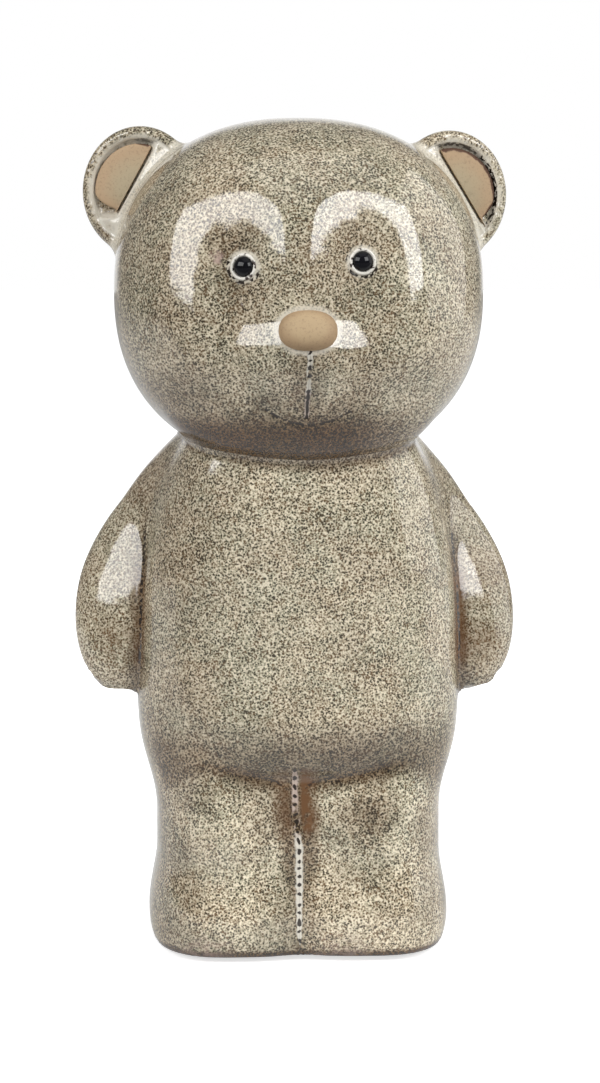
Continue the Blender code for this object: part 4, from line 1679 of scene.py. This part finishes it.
        # A dark band just above the soles: partly painted contact shadow, partly the bare clay where the
        # glaze stops.
        sole_rim = ramp(z, self.sole_level + 0.0028, self.sole_level + 0.0012)
        creases = [belly_fold_shade, arm_crease_shade, under_head_shade, leg_groove_shade, sole_rim]
        shade_and_stain = np.maximum.reduce([*creases, right_side_shade, under_belly_shade, left_leg_shade])
        rust = ramp(np.abs(off), 0.0080, 0.0035) * ramp(z, 0.0575, 0.0545) * ramp(y, -0.018, -0.024)
        rust *= high * ramp(np.abs(off), 0.0010, 0.0022) * np.where(off > 0, 1.0, 0.45)
        for side, share in ((Side.LEFT, 0.75), (Side.RIGHT, 0.40)):
            beside = ramp(crease, 0.0050, 0.0012) * ramp(side.value * x, 0.010, 0.020)
            along = ramp(z, 0.116, 0.106) * ramp(z, 0.080, 0.086)
            rust = np.maximum(rust, share * beside * along * ramp(y, 0.006, -0.002))
        rust = np.maximum(rust, 0.20 * ramp(torso, 0.0006, 0.0022) * ramp(z, 0.076, 0.084))
        hands = hill(np.hypot(np.abs(x) - 0.0525, z - 0.0900) / 0.0110) * ramp(y, 0.004, -0.004)
        rust = np.maximum(rust, 0.55 * hands)
        blush = 0.35 * ramp(z, 0.011, 0.004) * hill((np.abs(x + 0.008) - 0.020) / 0.012)
        reach = ramp(z, 0.0578, 0.0560) * ramp(z, 0.004, 0.008) * ramp(y, -0.018, -0.021)
        levels = (0.004, 0.010, 0.018, 0.030, 0.036, 0.040, 0.058)
        wide = np.interp(z, levels, (0.30, 0.48, 0.58, 0.68, 0.62, 0.50, 0.46))
        store(mesh, "shade_and_stain", shade_and_stain)
        # A painted pale patch of light on the bear's right leg.
        store(mesh, "pool_and_sheen", 0.10 * hill(np.hypot(x + 0.0248, z - 0.0290) / 0.011) * ahead)
        store(mesh, "rust", rust)
        store(mesh, "blush", blush)
        store_offset(mesh, "crack", off)
        store(mesh, "crack_width", wide * reach)
        # The border is brighter low down, where it stands for a painted highlight.
        store(mesh, "crack_bright", 0.25 + 0.75 * ramp(z, 0.040, 0.034))
        store(mesh, "crack_open", np.full(len(points), 0.04))
        inside = crease < fold
        # Along the arm creases and the belly fold these dash lines are painted shade.
        store_offset(mesh, "dash", np.where(inside, 0.7 * (torso - arms), 1.1 * (torso - legs)))
        along = ramp(z, 0.128, 0.120) * ramp(z, 0.080, 0.086)
        by_arm = ramp(crease, 0.004, 0.002) * along * ramp(y, 0.004, -0.004)
        by_leg = ramp(fold, 0.004, 0.002) * ramp(np.abs(x - 0.003), 0.024, 0.014) * ahead
        store(mesh, "dash_share", np.where(inside, by_arm, 0.8 * by_leg))

    def add_dots(self, felt: bpy.types.Material) -> None:
        """Cuts the felt dots and glues them under the soles.

        Args:
            felt: The felt that they are cut from.
        """
        radius, thick = self.dot / 2, self.dot_thickness
        inset = self.leg_depth / 2 - self.dot_inset
        for side, (end, way) in product(Side, (("front", -1), ("back", 1))):
            shape = bmesh.new()
            bmesh.ops.create_cone(
                shape, cap_ends=True, segments=48, radius1=radius, radius2=radius, depth=thick
            )
            rims = [edge for edge in shape.edges if edge.calc_face_angle() > 1]
            bmesh.ops.bevel(
                shape, geom=rims, offset=self.dot_edge, segments=3, profile=0.5, affect="EDGES", material=-1
            )
            place = (side.value * self.leg_width / 2, self.shift + way * inset, thick / 2)
            bmesh.ops.translate(shape, verts=shape.verts, vec=place)
            name = f"{side.word}_{end}_felt"
            add_piece(name, mesh_from(shape, name), felt, Slot.FELT, f"{name}_dot")


# The studio


def way_to(azimuth: float, elevation: float) -> Vector:
    """The way, seen from the bear, to a place at these degrees round it and above it."""
    a, e = math.radians(azimuth), math.radians(elevation)
    return Vector((math.sin(a) * math.cos(e), -math.cos(a) * math.cos(e), math.sin(e)))


@dataclass(frozen=True)
class Softbox:
    """A square lamp behind white cloth, aimed at the bear."""

    name: str
    azimuth: float
    elevation: float
    distance: float
    width: float
    height: float
    radiance: float
    aim: tuple[float, float, float] = (0.0, 0.0, 0.19)

    def add(self) -> None:
        """Hangs the lamp."""
        light = bpy.data.lights.new(self.name, "AREA")
        light.shape = "RECTANGLE"
        light.size, light.size_y = self.width, self.height
        light.energy = self.radiance * math.pi * self.width * self.height
        lamp = bpy.data.objects.new(self.name, light)
        away = way_to(self.azimuth, self.elevation)
        lamp.location = Vector(self.aim) + away * self.distance
        lamp.rotation_euler = away.to_track_quat("Z", "Y").to_euler()
        bpy.context.scene.collection.objects.link(lamp)


@dataclass(frozen=True)
class Studio:
    """White floor and surroundings, softboxes, and the camera of the photograph."""

    azimuth: float = -3.2
    elevation: float = 6.0
    distance: float = 1.0
    lens: float = 114.07
    room_light: float = 0.18
    floor_size: float = 6.0
    floor_roughness: float = 0.9
    floor_white: Colour = (0.86, 0.86, 0.86)
    floor_grey: Colour = (0.22, 0.22, 0.22)
    floor_turns_grey: tuple[float, float] = (-0.06, -0.28)
    floor_glow: float = 0.68
    floor_glow_away: float = 0.35
    floor_glow_span: tuple[float, float] = (0.10, 0.60)
    floor_glow_ahead: float = 0.7
    floor_mirrored: float = 0.15
    floor_mirrored_less_ahead: float = 0.12
    wall_behind: tuple[float, float] = (0.86, 0.98)
    softboxes: tuple[Softbox, ...] = (
        Softbox("left_softbox", -48.5, 28.0, 2.2, 1.82, 1.10, 5.4),
        Softbox("right_softbox", 40.5, 28.0, 2.2, 1.15, 1.10, 7.0),
        Softbox("right_reflector", 92.0, 22.0, 2.4, 2.60, 2.60, 1.20),
        Softbox("high_reflector", 20.0, 74.0, 2.4, 2.40, 2.00, 0.50),
    )

    def add_camera(self, aim: Vector) -> None:
        """Places the camera so that a point of the bear is in the middle of the picture.

        Args:
            aim: The point that the camera looks at.
        """
        camera = bpy.data.cameras.new("photograph")
        camera.sensor_fit = "AUTO"
        camera.sensor_width = 36.0
        camera.lens = self.lens
        stand = bpy.data.objects.new("photograph", camera)
        away = way_to(self.azimuth, self.elevation)
        stand.location = aim + away * self.distance
        stand.rotation_euler = away.to_track_quat("Z", "Y").to_euler()
        bpy.context.scene.collection.objects.link(stand)
        bpy.context.scene.camera = stand

    def add_floor(self) -> None:
        """Lays the white floor, which shows its own light more and more away from the bear."""
        shape = bmesh.new()
        bmesh.ops.create_grid(shape, x_segments=1, y_segments=1, size=self.floor_size)
        floor = bpy.data.objects.new("floor", mesh_from(shape, "floor"))
        material, tree, shader = new_material("white_floor")
        shader.inputs["Roughness"].default_value = self.floor_roughness
        place = tree.add("TexCoord").outputs["Object"]
        ahead = tree.between(tree.add("SeparateXYZ", {"Vector": place}).outputs["Y"], *self.floor_turns_grey)
        tree.links.new(tree.mix(ahead, self.floor_white, self.floor_grey), shader.inputs["Base Color"])
        rays = tree.add("LightPath")
        shader.inputs["Emission Color"].default_value = (1, 1, 1, 1)
        mirrored = tree.larger(rays.outputs["Is Glossy Ray"], rays.outputs["Is Transmission Ray"])
        share = tree.minus(self.floor_mirrored, tree.times(ahead, self.floor_mirrored_less_ahead))
        mirrored = tree.times(mirrored, share)
        seen = tree.larger(rays.outputs["Is Camera Ray"], mirrored)
        away = tree.add("VectorMath", {0: place}, operation="LENGTH").outputs["Value"]
        far_off = tree.between(away, *self.floor_glow_span)
        own = tree.plus(tree.times(far_off, self.floor_glow_away), self.floor_glow)
        ahead_seen = tree.times(ahead, rays.outputs["Is Camera Ray"])
        own = tree.plus(own, tree.times(ahead_seen, self.floor_glow_ahead))
        tree.links.new(tree.times(seen, own), shader.inputs["Emission Strength"])
        floor.data.materials.append(material)
        bpy.context.scene.collection.objects.link(floor)

    def add_surroundings(self) -> None:
        """Makes the world white to the eye and in mirrored rays from behind, and a dim soft light else."""
        world = bpy.data.worlds.new("white_surroundings")
        world.use_nodes = True
        tree = Tree.of(world.node_tree)
        background = world.node_tree.nodes["Background"]
        background.inputs["Color"].default_value = (1, 1, 1, 1)
        rays = tree.add("LightPath")
        way = tree.add("SeparateXYZ", {"Vector": tree.add("TexCoord").outputs["Generated"]}).outputs["Y"]
        mirrored = tree.larger(rays.outputs["Is Glossy Ray"], rays.outputs["Is Transmission Ray"])
        mirrored = tree.times(mirrored, tree.between(way, *self.wall_behind))
        seen = tree.larger(rays.outputs["Is Camera Ray"], mirrored)
        rest = 1 - self.room_light
        tree.links.new(tree.plus(tree.times(seen, rest), self.room_light), background.inputs["Strength"])
        bpy.context.scene.world = world

    def build(self, aim: Vector) -> None:
        """Sets up the whole studio.

        Args:
            aim: The point that the camera looks at.
        """
        bpy.context.scene.view_settings.view_transform = "Standard"
        self.add_camera(aim)
        self.add_floor()
        self.add_surroundings()
        for softbox in self.softboxes:
            softbox.add()


def main() -> None:
    """Builds the bear's pieces in order, logging each piece's points and faces, then the studio."""
    logging.basicConfig(level=logging.INFO, format="%(name)s: %(message)s")
    low, high = (Vector(corner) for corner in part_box("head_shell"))
    head = Head(centre=(0.0, 0.0, 0.0))
    shift = high.y - head.back
    head = Head(centre=(0.0, shift, high.z - head.height / 2))
    specks, skin = speckle_group(), ripple_group()
    glaze = SpeckledGlaze().material(specks, skin)
    clay = BareClay("ear_clay").material(skin)
    nose_clay = BareClay("nose_clay", middle=(0.46, 0.335, 0.195), edge=(0.39, 0.265, 0.150)).material(skin)
    bead_glaze = PlainGlaze("black_glaze", (0.004, 0.004, 0.006), (0.002, 0.002, 0.003), 0.06, shine=0.28)
    black = bead_glaze.material(skin)
    white = PlainGlaze("white_slip", (0.74, 0.71, 0.64), (0.05, 0.035, 0.03), 0.2, 0.06).material(skin)
    head.add_skin(glaze)
    head.add_nose(nose_clay)
    head.add_eyes(black, white)
    for ear in head.ears:
        ear.add_lining(clay)
    body = Body(head, shift + head.forward)
    body.add_skin(glaze)
    body.add_dots(Felt().material())
    middle = Vector((0.0008, body.shift, 0.1175))
    Studio().build(middle)


if __name__ == "__main__":
    main()
